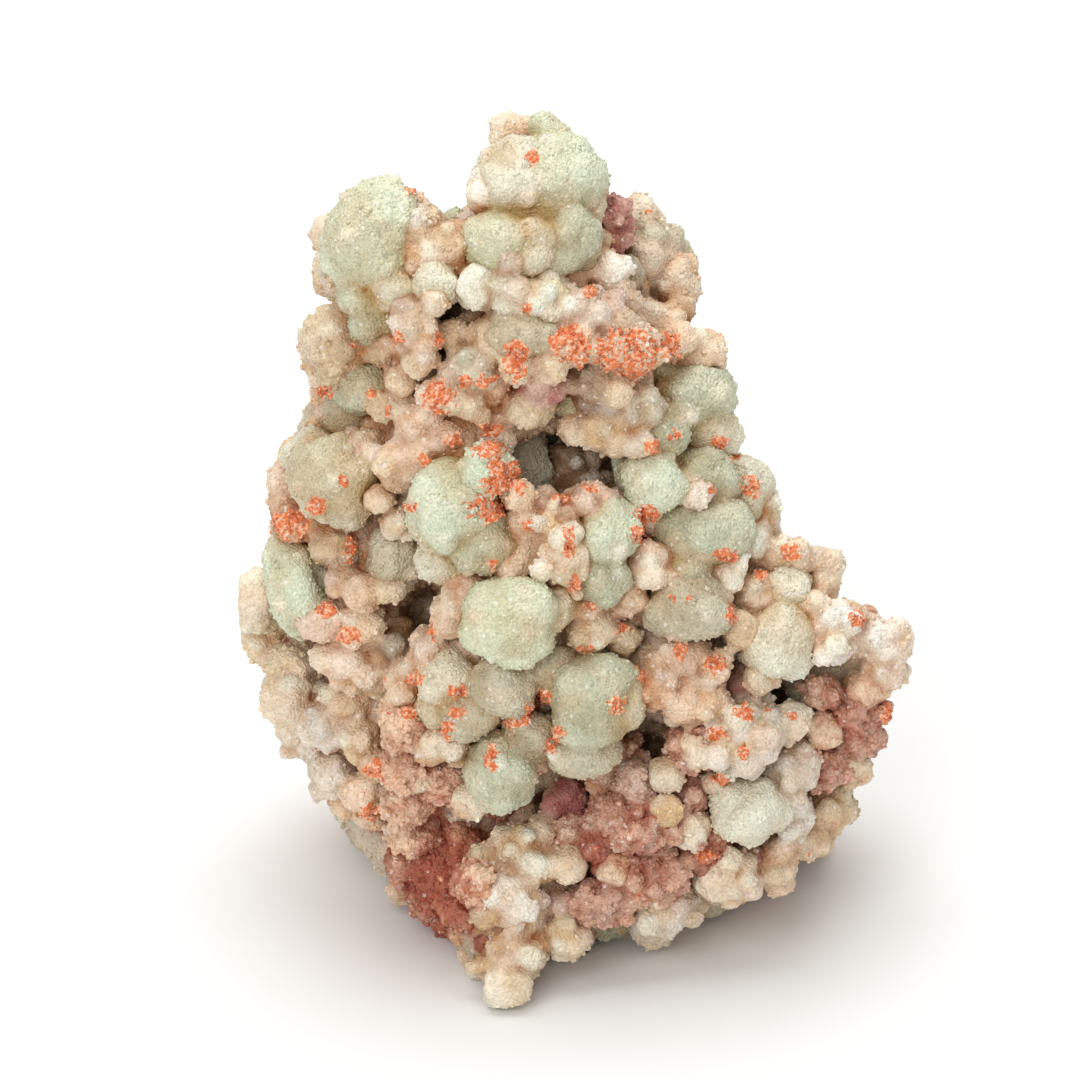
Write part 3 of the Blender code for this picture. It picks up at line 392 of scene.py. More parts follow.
    (crystal, "peach", -10.8, -20.5, 1.4, 1.7, 1.6),
    (crystal, "cream", -7, -26, 0.4, 1.5, 1.3),
]

# Display colours of the stone, and one painted shade, worked out to light values by linear()
tints = {
    "fresh": (0.875, 0.905, 0.79),
    "mint": (0.865, 0.90, 0.80),
    "pale": (0.925, 0.925, 0.85),
    "green": (0.80, 0.82, 0.72),
    "sage": (0.81, 0.785, 0.69),
    "hay": (0.86, 0.84, 0.73),
    "cream": (0.915, 0.845, 0.74),
    "white": (0.97, 0.945, 0.89),
    "tan": (0.86, 0.775, 0.64),
    "peach": (0.915, 0.80, 0.69),
    "blush": (0.84, 0.735, 0.665),
    "coral": (0.945, 0.80, 0.675),
    "pink": (0.83, 0.66, 0.575),
    "rust": (0.70, 0.42, 0.30),
    "mauve": (0.72, 0.44, 0.43),
    "grey": (0.88, 0.84, 0.785),
    # painted shade: a dark brown for lumps deep in recesses and for the front of the inner mass
    "umber": (0.55, 0.42, 0.29),
    "matrix": (0.79, 0.73, 0.64),
}

# Orange crusts on the front: right, up, half width, half height
orangeCrusts = [
    (3, 19.5, 1.7, 1.5), (8.5, 18.5, 2.6, 2.1), (13.2, 19.5, 0.9, 1.2), (-2.3, 17.8, 1, 1.7),
    (-1.2, 23, 0.6, 0.6), (5, 24.6, 0.6, 0.5), (-0.8, 37.8, 0.6, 0.6), (-13, 34.3, 0.6, 0.6),
    (-10, 14.2, 1.4, 1.3), (-7.5, 15.8, 0.6, 0.5), (-5.5, 16, 0.8, 0.5), (-5, 11, 1, 0.6),
    (-8.5, 10, 0.6, 0.5), (-11.5, 8, 0.5, 0.5), (-5, 8.7, 1.4, 0.7), (-4, 6.4, 1.7, 1.5),
    (-5.5, 3.2, 1.9, 1.2), (-1.9, 4.9, 0.5, 0.5), (-1, 1.5, 0.6, 0.5), (2.8, -0.2, 0.6, 1.2),
    (3.3, -4.3, 0.5, 0.8), (2.5, 4, 1, 0.3), (5, 5, 0.8, 0.4), (9.5, 0.5, 0.9, 0.7),
    (10.5, 2.8, 1.1, 1.1), (11.2, 9.3, 0.7, 0.6), (13.2, 10.5, 0.6, 0.5), (18, 9.8, 0.7, 0.5),
    (19.3, 8, 0.6, 0.5), (20.8, 5.3, 0.9, 0.9), (17, 5, 0.5, 0.4), (18.5, -1.3, 1.1, 0.5),
    (22, -3.7, 0.5, 0.5), (13.4, -5.8, 0.4, 0.3), (14.8, -6, 0.4, 0.3), (18.7, -7.5, 0.5, 0.8),
    (5.2, -6.5, 0.7, 0.4), (4.5, -10.8, 0.8, 0.5), (8, -9, 0.6, 0.5), (17.5, -12.4, 0.9, 0.8),
    (14, -11, 0.5, 0.9), (9.5, -13.8, 0.5, 0.7), (20.2, -17.3, 1, 0.5), (20.3, -21, 0.5, 0.8),
    (17.6, -19.3, 0.9, 0.6), (18, -23.7, 0.8, 0.5), (25, -17.5, 0.6, 0.5), (25, -1.2, 1, 0.8),
    (31.5, -8, 0.7, 0.6), (34.6, -17.2, 0.6, 0.7), (-8.2, -15, 0.9, 0.7), (-8.2, -17, 0.6, 0.6),
    (-9, -18.8, 0.4, 0.8), (-4.7, -21.8, 0.6, 1.1), (-2.4, -18, 1.2, 0.6), (-0.9, -16.6, 1.2, 0.7),
    (0.6, -15.4, 0.8, 0.7), (1.2, -20.5, 0.6, 0.7), (2.2, -19.2, 0.6, 0.6), (7.6, -16.2, 0.9, 0.8),
    (-12.5, -13.8, 0.9, 0.7), (-13, -17.2, 0.6, 0.6), (-16.5, -22.8, 0.9, 0.7), (-17, -27.2, 0.9, 0.7),
    (-21.3, -7, 0.8, 0.6), (-19, -9.5, 0.9, 0.6), (-22, 3.5, 0.9, 0.7), (-19.8, 5.9, 0.5, 0.5),
    (-24.8, 1.6, 1.6, 1.2), (-19, -0.8, 0.5, 1.2), (-15, 12.8, 0.7, 0.5), (-16.5, 14.5, 0.5, 0.5),
    (-21.5, 14.7, 0.8, 0.8), (-14, 20.2, 0.5, 0.8), (-10.3, 20, 0.5, 0.7), (-12.5, 3.3, 0.5, 0.4),
    (-4.8, -2.2, 0.5, 0.5), (-10.5, -9, 0.3, 1), (16.5, -31.3, 1, 0.6), (4, 17.3, 0.4, 0.4),
]

# Rusty red stains: right, up, half width, half height, strength
redStains = [
    (-10, -34.6, 3.2, 5, 0.95),
    (-10.2, -35.6, 1.5, 2.4, 1.4),
    (-10.5, -28, 2.6, 4, 0.5),
    (-24.5, 1.5, 2, 1.8, 0.5),
    (31.5, -17.5, 3.6, 2.8, 0.5),
    (28, -22.8, 2.4, 2.6, 0.5),
    (9, -31, 5, 3.4, 0.6),
    (8, -27, 4.4, 2.4, 0.6),
    (16.8, -31, 1.6, 1.2, 0.7),
]

# How uneven each kind is, and how fine its unevenness
uneven = {nodule: (0.15, 1.3), crystal: (0.20, 1.7), clay: (0.28, 2.3)}
unevenChange = 0.37
largeLump = 2.6  # from this size on a lump is a finer ball

# The flats of each kind of lump: how many, how crisp their edges are, and how far out they lie
flatJitter = 0.08
flats = {
    nodule: {"count": 20, "crisp": 7.0, "reach": (0.96, 1.05)},
    crystal: {"count": 11, "crisp": 13.0, "reach": (0.82, 1.07)},
    clay: {"count": 12, "crisp": 8.0, "reach": (0.86, 1.05)},
}
flatDraw = np.random.default_rng(seed=7)

# How the front lumps sit, and the stems that join them to the inner mass
seat = {"sink": 0.45, "floorClear": 0.6, "stemFree": 0.5, "stemWidth": 0.72, "stemSink": 1.5}

# Lumps over the back and sides
fill = {
    "seed": 11,
    # share of the size, how far a lump is sunk, and its room to the outline, each round in smaller gaps
    "rounds": ((1.0, 0.0, 1.0), (0.7, 0.2, 0.8), (0.5, 0.3, 0.6), (0.5, 0.65, 0.2)),
    "tries": 6000,
    "spacing": 0.74,
    "lift": (0.2, 1.4),
    "stretch": (0.85, 1.15),
    "noduleShare": 0.34,
    "noduleSizes": (3.2, 5.2),
    "clayShare": 0.33,
    "claySizes": (2.0, 3.2),
    "crystalSizes": (1.9, 3.4),
    "clayTop": 26.0,
    "hollowClear": 1.5,
    "noduleTints": ("mint", "green", "pale", "sage", "green"),
    "crystalTints": ("cream", "tan", "peach", "cream", "grey", "white"),
    "clayTints": ("coral", "pink", "peach", "rust", "coral"),
}


def linear(colour):
    return [((c + 0.055) / 1.055) ** 2.4 for c in colour]


def faceAxes():
    tilt = face["tilt"]
    right = Vector((1.0, 0.0, 0.0))
    up = Vector((0.0, math.sin(tilt), math.cos(tilt)))
    near = Vector((0.0, -math.cos(tilt), math.sin(tilt)))
    return right, up, near


faceTurn = Matrix.Rotation(-face["tilt"], 3, "X")


def facePoint(right, up, near):
    axes = faceAxes()
    return Vector((0.0, 0.0, face["height"])) + axes[0] * right + axes[1] * up + axes[2] * near


def onFace(points):
    # right, up and near of an array of points
    fromMiddle = points - np.array((0.0, 0.0, face["height"]))
    return [fromMiddle @ np.array(axis) for axis in faceAxes()]


def faceRow(up):
    # left edge, right edge and near in the middle, also for an array of heights
    heights, *columns = zip(*faceProfile)
    return [np.interp(up, heights, column) for column in columns]


def faceNear(right, up):
    leftEdge, rightEdge, near = faceRow(up)
    middle = (leftEdge + rightEdge) / 2.0
    reach = np.minimum(np.abs(right - middle) / (rightEdge - middle), 1.0)
    return near - face["fall"] * (1.0 - np.sqrt(1.0 - reach * reach))


def inOutline(point, margin):
    axes = faceAxes()
    fromMiddle = point - Vector((0.0, 0.0, face["height"]))
    right, up = fromMiddle.dot(axes[0]), fromMiddle.dot(axes[1])
    if not faceProfile[0][0] < up < faceProfile[-1][0] - margin:
        return False
    notchRight, notchWidth, notchUp = face["notch"]
    if abs(right - notchRight) < notchWidth + margin * face["notchRoom"] and up + margin > notchUp:
        return False
    rows = [faceRow(up + step * margin) for step in face["outlineSteps"]]
    return all(left + margin < right < rightEdge - margin for left, rightEdge, _ in rows)


def inHollow(point):
    axes = faceAxes()
    for right, up, near, halfWidth, halfHeight, halfDepth in hollows:
        away = point - facePoint(right, up, near)
        halves = (halfWidth, halfHeight, halfDepth)
        shares = (away.dot(axis) / (half + fill["hollowClear"]) for axis, half in zip(axes, halves))
        if sum(share * share for share in shares) < 1.0:
            return True
    return False


ballCache = {}


def ball(fineness):
    # points and corner numbers of a ball of radius 1
    if fineness not in ballCache:
        bm = bmesh.new()
        bmesh.ops.create_icosphere(bm, subdivisions=fineness, radius=1.0)
        points = np.array([vert.co[:] for vert in bm.verts])
        corners = np.array([[vert.index for vert in f.verts] for f in bm.faces])
        bm.free()
        ballCache[fineness] = points, corners
    return ballCache[fineness]


def meshOf(name, parts):
    # one mesh, in metres, of several (points, corners, colours) in millimetres
    starts = np.cumsum([0] + [len(part[0]) for part in parts])
    points = np.concatenate([part[0] for part in parts]) * mm
    corners = np.concatenate([part[1] + start for part, start in zip(parts, starts)])
    mesh = bpy.data.meshes.new(name)
    mesh.vertices.add(len(points))
    mesh.vertices.foreach_set("co", points.astype(np.float32).ravel())
    mesh.loops.add(corners.size)
    mesh.loops.foreach_set("vertex_index", corners.astype(np.int32).ravel())
    mesh.polygons.add(len(corners))
    mesh.polygons.foreach_set("loop_start", np.arange(0, corners.size, 3, dtype=np.int32))
    mesh.update(calc_edges=True)
    if len(parts[0]) > 2:
        setAttribute(mesh, "tint", "FLOAT_COLOR", np.concatenate([part[2] for part in parts]))
    return mesh


def setAttribute(mesh, name, kind, values):
    attribute = mesh.attributes.new(name, kind, "POINT")
    if kind == "FLOAT_COLOR":
        values = np.column_stack([values, np.ones(len(values))])
    field = "color" if kind == "FLOAT_COLOR" else "value"
    attribute.data.foreach_set(field, np.ascontiguousarray(values, np.float32).ravel())


def objectOf(name, mesh):
    obj = bpy.data.objects.new(name, mesh)
    bpy.context.scene.collection.objects.link(obj)
    return obj


def evaluated(obj):
    # the object's mesh with its modifiers, and the object removed
    bpy.context.view_layer.update()
    graph = bpy.context.evaluated_depsgraph_get()
    mesh = bpy.data.meshes.new_from_object(obj.evaluated_get(graph))
    bpy.data.objects.remove(obj)
    return mesh


def fuse(obj, size):
    modifier = obj.modifiers.new("fuse", "REMESH")
    modifier.mode = "VOXEL"
    modifier.voxel_size = size * mm
    modifier.use_smooth_shade = True


def evenWays(count):
    # directions spread evenly over a ball
    along = 1.0 - (2.0 * np.arange(count) + 1.0) / count
    angle = np.arange(count) * math.pi * (3.0 - math.sqrt(5.0))
    across = np.sqrt(1.0 - along * along)
    return np.column_stack([across * np.cos(angle), across * np.sin(angle), along])


def pointsOf(mesh):
    points = np.empty(len(mesh.vertices) * 3, np.float32)
    mesh.vertices.foreach_get("co", points)
    return points.reshape(-1, 3)


def inMillimetres(mesh):
    # the mesh's points in the frame of the lumps, before the shift
    return pointsOf(mesh) / mm - np.array(face["shift"])


class Lump:
    # one lump: its kind, colour, place, radii and turn, in millimetres
    def __init__(self, kind, colour, centre, radii, turn):
        self.kind, self.colour = kind, np.array(colour)
        self.centre, self.radii, self.turn = centre, radii, turn
        self.size = sum(radii) / 3.0
        rule = flats[kind]
        ways = evenWays(rule["count"]) @ np.linalg.qr(flatDraw.normal(size=(3, 3)))[0]
        ways += flatDraw.normal(size=ways.shape) * flatJitter
        self.flats = ways / flatDraw.uniform(*rule["reach"], size=(rule["count"], 1))

    def swelled(self, ways):
        # how far the lump reaches each way, as a share of its radii
        swell, pitch = uneven[self.kind]
        crisp = flats[self.kind]["crisp"]
        grown = [noise.noise(Vector(way) * pitch + self.centre * unevenChange) for way in ways]
        flat = (np.clip(ways @ self.flats.T, 0.0, None) ** crisp).sum(1) ** (-1.0 / crisp)
        return flat * (1.0 + swell * np.array(grown))

    def shape(self):
        points, corners = ball(5 if self.size > largeLump else 4)
        points = points * self.swelled(points)[:, None] * np.array(self.radii) * knobs[self.kind]["base"]
        points = points @ np.array(self.turn).T + np.array(self.centre)
        # painted shade: the lump's surface between its knobs is darkened, as shade in the gaps
        colour = self.colour * knobs[self.kind]["paintedGapShade"]
        return points, corners, np.tile(colour, (len(points), 1))


class Knob:
    # a small blunt crystal or globule that stands out of a lump
    def __init__(self, lump, way, size, draw):
        self.kind, self.lump, self.size = lump.kind, lump, size
        spot = Vector([r * w for r, w in zip(lump.radii, way)])
        top = lump.swelled(np.array([way]))[0] * knobs[lump.kind]["top"] * spot.length
        outward = spot.normalized()
        self.centre = lump.centre + lump.turn @ (outward * (top - size * draw.uniform(*knobForm["sink"])))
        self.out = np.array(lump.turn @ outward)
        self.turn = np.array(drawTurn(draw))
        self.radii = size * np.array([draw.uniform(*knobForm["stretch"]) for _ in range(3)])
        tone = draw.uniform(*knobs[lump.kind]["tones"])
        other = np.array(linear(tints[draw.choice(knobs[lump.kind]["others"])]))
        share = draw.choice(knobs[lump.kind]["otherShares"])
        self.colour = (lump.colour * (1.0 - share) + other * share) * tone

    def shape(self):
        points, corners = ball(3 if self.size > knobForm["large"] else 2)
        block = knobs[self.kind]["block"]
        points = points / np.abs(points).max(axis=1, keepdims=True) ** block
        points = points * (1.0 - knobForm["shrink"] * block)
        points = (points * self.radii) @ self.turn.T
        # painted shade and highlight: darker at the knob's foot, lighter towards its top, by its height along
        # the outward way
        height = points @ self.out / self.size
        low = np.array(knobs[self.kind]["paintedGapShade"])
        middle, rise, most = knobForm["tone"]
        tone = low + (1.0 - low) * np.clip(middle + rise * height, 0.0, most)[:, None]
        return points + np.array(self.centre), corners, self.colour * tone


def drawTurn(draw):
    axis = Vector([draw.gauss(0.0, 1.0) for _ in range(3)]).normalized()
    return Matrix.Rotation(draw.uniform(0.0, math.pi), 3, axis)


def stretchedBall(fineness, radii, turn, centre):
    points, corners = ball(fineness)
    return (points * np.array(radii)) @ np.array(turn).T + np.array(centre), corners


def makeCore():
    parts = [stretchedBall(3, radii, Matrix.Identity(3), centre) for centre, radii in coreBalls]
    core = objectOf("core", meshOf("core", parts))
    fuse(core, coreFineness)
    parts = [
        stretchedBall(3, (halfWidth, halfDepth, halfHeight), faceTurn, facePoint(right, up, near))
        for right, up, near, halfWidth, halfHeight, halfDepth in hollows
    ]
    cutter = objectOf("hollows", meshOf("hollows", parts))
    cut = core.modifiers.new("cut", "BOOLEAN")
    cut.operation = "DIFFERENCE"
    cut.object = cutter
    mesh = evaluated(core)
    bpy.data.objects.remove(cutter)
    return mesh


def placeFrontLumps(coreTree):
    lumps, stems = [], []
    for kind, tint, right, up, lift, halfWidth, halfHeight, *roll in frontLumps:
        halfDepth = (halfWidth + halfHeight) / 2.0
        near = faceNear(right, up) + lift - seat["sink"] * halfDepth
        turn = faceTurn @ Matrix.Rotation(math.radians(-sum(roll)), 3, "Y")
        centre = facePoint(right, up, near)
        low = seat["floorClear"] * halfHeight - centre.z
        if low > 0.0:
            centre += faceAxes()[2] * (low / math.sin(face["tilt"]))
        lumps.append(Lump(kind, linear(tints[tint]), centre, (halfWidth, halfDepth, halfHeight), turn))
        spot, _, _, distance = coreTree.find_nearest(centre)
        if distance >= seat["stemFree"] * halfDepth:
            width = seat["stemWidth"] * halfDepth
            radii = (width, width, distance / 2.0 + seat["stemSink"])
            turn = (spot - centre).to_track_quat("Z", "X").to_matrix()
            stems.append(Lump(kind, linear(tints[tint]), (spot + centre) / 2.0, radii, turn))
    return lumps, stems


def placeFillLumps(core, lumps):
    draw, paint = random.Random(fill["seed"]), random.Random(fill["seed"] + 1)
    placed = [(lump.centre, lump.radii[1]) for lump in lumps]
    faces = core.faces[:]
    areas = [f.calc_area() for f in faces]
    found = []
    tried = [(f, *rule) for rule in fill["rounds"] for f in draw.choices(faces, areas, k=fill["tries"])]
    for f, share, sunk, margin in tried:
        middle, normal = f.calc_center_median(), f.normal
        pick = draw.random()
        if pick < fill["noduleShare"]:
            kind, size = nodule, draw.uniform(*fill["noduleSizes"])
        elif middle.z < fill["clayTop"] and pick < fill["noduleShare"] + fill["clayShare"]:
            kind, size = clay, draw.uniform(*fill["claySizes"])
        else:
            kind, size = crystal, draw.uniform(*fill["crystalSizes"])
        size *= share
        centre = middle + normal * (draw.uniform(*fill["lift"]) * share - sunk * size)
        radii = [size * draw.uniform(*fill["stretch"]) for _ in range(3)]
        spin = Matrix.Rotation(draw.uniform(0.0, math.pi), 3, normal)
        crowded = any((centre - spot).length < fill["spacing"] * (size + reach) for spot, reach in placed)
        if crowded or centre.z < size / 2.0 or inHollow(centre) or not inOutline(centre, size * margin):
            continue
        colour = linear(tints[paint.choice(fill[kind + "Tints"])])
        found.append(Lump(kind, colour, centre, radii, spin))
        placed.append((centre, size))
    return found


# What stands on each kind of lump: how much is covered, by knobs of what radius, how blocky they are,
# how far out their tops and the lump itself reach, the painted shade of the gaps between the knobs, and the
# tones of the knobs
knobs = {
    nodule: {
        "cover": 0.05,
        "size": (0.5, 0.9),
        "block": 0.35,
        "top": 1.06,
        "base": 0.98,
        "paintedGapShade": (0.95, 0.93, 0.90),
        "tones": (0.95, 1.08),
        "others": ("cream", "white", "peach"),
        "otherShares": (0.3, 0.8),
    },
    crystal: {
        "cover": 0.78,
        "size": (0.70, 1.65),
        "block": 0.6,
        "top": 1.08,
        "base": 0.82,
        "paintedGapShade": (0.93, 0.80, 0.62),
        "tones": (0.90, 1.10),
        "others": ("white", "peach", "tan", "pale", "blush"),
        "otherShares": (0.0, 0.3, 0.6),
    },
    clay: {
        "cover": 0.75,
        "size": (0.45, 1.05),
        "block": 0.2,
        "top": 1.10,
        "base": 0.82,
        "paintedGapShade": (0.80, 0.56, 0.42),
        "tones": (0.88, 1.12),
        "others": ("coral", "peach", "cream", "pink", "coral"),
        "otherShares": (0.0, 0.3, 0.6),
    },
}

# How the knobs are made, whatever they stand on
knobForm = {
    "seed": 5,
    "jitter": 0.5,
    "sink": (0.8, 1.0),
    "stretch": (0.8, 1.25),
    "large": 0.65,  # from this size on a knob is a finer ball
    "shrink": 0.22,  # of blocky knobs, so that their corners don't stand out
    "tone": (0.55, 0.6, 1.15),  # painted shade and highlight on a knob, from its foot to its top: in the middle, its rise to the top, and the most
    "buried": (1.6, 0.3),  # left out when deeper than this many sizes and this much more
}


def placeKnobs(lumps):
    draw = random.Random(knobForm["seed"])
    found = []
    for lump in lumps:
        rule = knobs[lump.kind]
        usual = sum(rule["size"]) / 2.0
        count = math.ceil(rule["cover"] * 4.0 * (lump.size / usual) ** 2)
        spin = drawTurn(draw)
        for way in evenWays(count):
            aside = Vector([draw.uniform(-1.0, 1.0) for _ in range(3)])
            way = Vector(way) + aside * (knobForm["jitter"] * usual / lump.size)
            size = draw.uniform(*rule["size"])
            found.append(Knob(lump, spin @ way.normalized(), size, draw))
    return found


# What shuts a point in: lumps no farther than reach, counted from within them, then what counts as open
crowding = {"reach": 2.5, "within": -0.6, "open": 1.1, "span": 2.2}


def shutIn(points, lumps):
    # for points in millimetres: how deep each is in the deepest lump, and how crowded it is
    depth = np.zeros(len(points))
    crowd = np.zeros(len(points))
    low, high = points.min(0) - crowding["reach"], points.max(0) + crowding["reach"]
    for lump in lumps:
        reach = max(lump.radii) + crowding["reach"]
        centre = np.array(lump.centre)
        if (centre + reach < low).any() or (centre - reach > high).any():
            continue
        away = points - centre
        close = np.flatnonzero((away * away).sum(1) < reach * reach)
        local = away[close] @ np.array(lump.turn) / np.array(lump.radii)
        clear = (np.sqrt((local * local).sum(1)) - 1.0) * lump.size
        depth[close] = np.maximum(depth[close], -clear)
        crowd[close] += np.exp(-np.clip(clear, crowding["within"], None))
    return depth, crowd


def coreDepth(points):
    # how deep each point is in the inner mass, and 0 in the hollows
    depth = np.zeros(len(points))
    for centre, radii in coreBalls:
        local = (points - np.array(centre)) / np.array(radii)
        depth = np.maximum(depth, (1.0 - np.sqrt((local * local).sum(1))) * min(radii))
    axes = [np.array(axis) for axis in faceAxes()]
    for right, up, near, *halves in hollows:
        away = points - np.array(facePoint(right, up, near))
        shares = sum((away @ axis / (half + fill["hollowClear"])) ** 2 for axis, half in zip(axes, halves))
        depth[shares < 1.0] = 0.0
    return depth


print("placing the lumps")
coreMesh = makeCore()
coreForm = bmesh.new()
coreForm.from_mesh(coreMesh)
bmesh.ops.scale(coreForm, vec=(1.0 / mm,) * 3, verts=coreForm.verts)
coreTree = BVHTree.FromBMesh(coreForm)
mainLumps, stems = placeFrontLumps(coreTree)
coreForm.faces.ensure_lookup_table()
mainLumps += placeFillLumps(coreForm, mainLumps)
smallKnobs = placeKnobs(mainLumps)
spots = np.array([knob.centre for knob in smallKnobs])
buried = np.maximum(shutIn(spots, mainLumps)[0], coreDepth(spots))
sizes, more = knobForm["buried"]
smallKnobs = [knob for knob, depth in zip(smallKnobs, buried) if depth < knob.size * sizes + more]
print(len(mainLumps), "lumps and", len(smallKnobs), "knobs")


class Link:
    # one output socket, with the operators that shader and shape maths use
    def __init__(self, tree, socket):
        self.tree, self.socket = tree, socket

    def maths(self, operation, *others):
        values = dict(enumerate((self, *others)))
        return self.tree.node("ShaderNodeMath", {"operation": operation}, values)[0]

    __add__ = __radd__ = partialmethod(maths, "ADD")
    __sub__ = partialmethod(maths, "SUBTRACT")
    __mul__ = partialmethod(maths, "MULTIPLY")
    __pow__ = partialmethod(maths, "POWER")
    over = partialmethod(maths, "GREATER_THAN")

    def __rsub__(self, other):
        return self.tree.node("ShaderNodeMath", {"operation": "SUBTRACT"}, {0: other, 1: self})[0]

    def ramp(self, low, high):
        # from 0 at low to 1 at high, smoothly
        settings = {"interpolation_type": "SMOOTHSTEP"}
        values = {"Value": self, "From Min": low, "From Max": high}
        return self.tree.node("ShaderNodeMapRange", settings, values)[0]


class Tree:
    # builds the nodes of one shader or one shape tree
    def __init__(self, nodeTree):
        self.nodeTree = nodeTree

    def node(self, kind, settings=None, values=None):
        made = self.nodeTree.nodes.new(kind)
        for name, value in (settings or {}).items():
            setattr(made, name, value)
        for name, value in (values or {}).items():
            if isinstance(value, Link):
                self.nodeTree.links.new(value.socket, made.inputs[name])
            else:
                made.inputs[name].default_value = value
        return [Link(self, socket) for socket in made.outputs if socket.enabled]

    def mix(self, share, first, second, blend="MIX"):
        settings = {"data_type": "RGBA", "blend_type": blend}
        return self.node("ShaderNodeMix", settings, {0: share, 6: first, 7: second})[0]

    def named(self, label, kind="FLOAT"):
        return self.node("GeometryNodeInputNamedAttribute", {"data_type": kind}, {"Name": label})[0]

    def clouds(self, place, size, detail=1.0):
        values = {"Vector": place, "Scale": 1.0 / size, "Detail": detail}
        return self.node("ShaderNodeTexNoise", None, values)[0]

    def scaled(self, vector, scale):
        settings = {"operation": "SCALE"}
        return self.node("ShaderNodeVectorMath", settings, {0: vector, "Scale": scale})[0]


def shapeTree(name, inputs):
    # an empty shape tree with a mesh in and out, a material, and these named inputs with their kinds
    group = bpy.data.node_groups.new(name, "GeometryNodeTree")
    sockets = group.interface
    sockets.new_socket("Geometry", in_out="INPUT", socket_type="NodeSocketGeometry")
    inputs = {"material": "Material", **inputs}
    for label, kind in inputs.items():
        sockets.new_socket(label, in_out="INPUT", socket_type="NodeSocket" + kind)
    sockets.new_socket("Geometry", in_out="OUTPUT", socket_type="NodeSocketGeometry")
    tree = Tree(group)
    into = tree.node("NodeGroupInput")
    return tree, into[0], dict(zip(inputs, into[1:]))


def closeTree(tree, geometry, material):
    finished = tree.node("GeometryNodeSetMaterial", None, {"Geometry": geometry, "Material": material})[0]
    tree.node("NodeGroupOutput", None, {0: finished})
    return tree.nodeTree


def runTree(obj, group, values):
    modifier = obj.modifiers.new(group.name, "NODES")
    modifier.node_group = group
    sockets = {s.name: s.identifier for s in group.interface.items_tree if s.in_out == "INPUT"}
    for label, value in values.items():
        modifier[sockets[label]] = value


# Patterns of the raised surface: sizes in millimetres and the levels between which they rise
relief = {
    "warp": 0.9,
    "domeFall": 1.7,
    "wave": 3.0,
    "grit": 0.6,
    "crumb": 0.5,
    "crumbLevel": 0.35,
    "pit": 1.3,
    "pitLevels": (0.56, 0.68),
    "tintBlur": 4,
}


def surfaceTree():
    # takes each point's tint from the lumps, rounds the fused surface and raises cobbles and crumbs on it
    labels = ("cobbleSize", "cobbleHeight", "waveHeight", "gritHeight", "crumbHeight", "pitDepth")
    tree, geometry, value = shapeTree("surface", {"lumps": "Object", **dict.fromkeys(labels, "Float")})
    lumps = tree.node("GeometryNodeObjectInfo", None, {"Object": value["lumps"]})[-1]
    position = tree.node("GeometryNodeInputPosition")[0]
    settings = {"data_type": "FLOAT_COLOR"}
    values = {"Mesh": lumps, "Value": tree.named("tint", "FLOAT_COLOR")}
    nearest = tree.node("GeometryNodeSampleNearestSurface", settings, values)[0]
    values = {"Value": nearest, "Iterations": relief["tintBlur"]}
    soft = tree.node("GeometryNodeBlurAttribute", settings, values)[0]
    values = {"Geometry": geometry, "Name": "tint", "Value": soft}
    tinted = tree.node("GeometryNodeStoreNamedAttribute", settings, values)[0]
    settings = {"data_type": "FLOAT_VECTOR"}
    blurred = tree.node("GeometryNodeBlurAttribute", settings, {"Value": position, "Iterations": 1})[0]
    smooth = tree.node("GeometryNodeSetPosition", None, {"Geometry": tinted, "Position": blurred})[0]
    inMm = tree.scaled(position, 1.0 / mm)
    values = {"Vector": inMm, "Scale": relief["warp"], "Detail": 1.0}
    warp = tree.node("ShaderNodeTexNoise", None, values)[1]
    values = {0: warp, 1: (relief["warp"],) * 3, 2: inMm}
    warped = tree.node("ShaderNodeVectorMath", {"operation": "MULTIPLY_ADD"}, values)[0]

    def domes(size):
        scale = tree.node("ShaderNodeMath", {"operation": "DIVIDE"}, {0: 1.0, 1: size})[0]
        distance = tree.node("ShaderNodeTexVoronoi", None, {"Vector": warped, "Scale": scale})[0]
        return 1.0 - distance**2.0 * relief["domeFall"]

    height = domes(value["cobbleSize"]) * value["cobbleHeight"]
    height = height + domes(value["cobbleSize"] * 0.5) * (value["cobbleHeight"] * 0.5)
    height = height + (tree.clouds(inMm, relief["wave"], 2.0) - 0.5) * value["waveHeight"]
    height = height + (tree.clouds(inMm, relief["grit"], 2.0) - 0.5) * value["gritHeight"]
    crumbs = tree.clouds(inMm, relief["crumb"]) - relief["crumbLevel"]
    height = height + crumbs * tree.named("orange") * value["crumbHeight"]
    pits = tree.clouds(inMm, relief["pit"], 2.0).ramp(*relief["pitLevels"])
    height = height - pits * value["pitDepth"]
    normal = tree.node("GeometryNodeInputNormal")[0]
    offset = tree.scaled(normal, height * mm)
    raised = tree.node("GeometryNodeSetPosition", None, {"Geometry": smooth, "Offset": offset})[0]
    return closeTree(tree, raised, value["material"])


# Grains: how many more lie on orange crusts, how they are stretched, turned and brightened
grainForm = {"onOrange": 3.0, "stretch": (0.7, 1.3), "turn": (0.0, 6.28), "bright": (0.90, 1.14)}


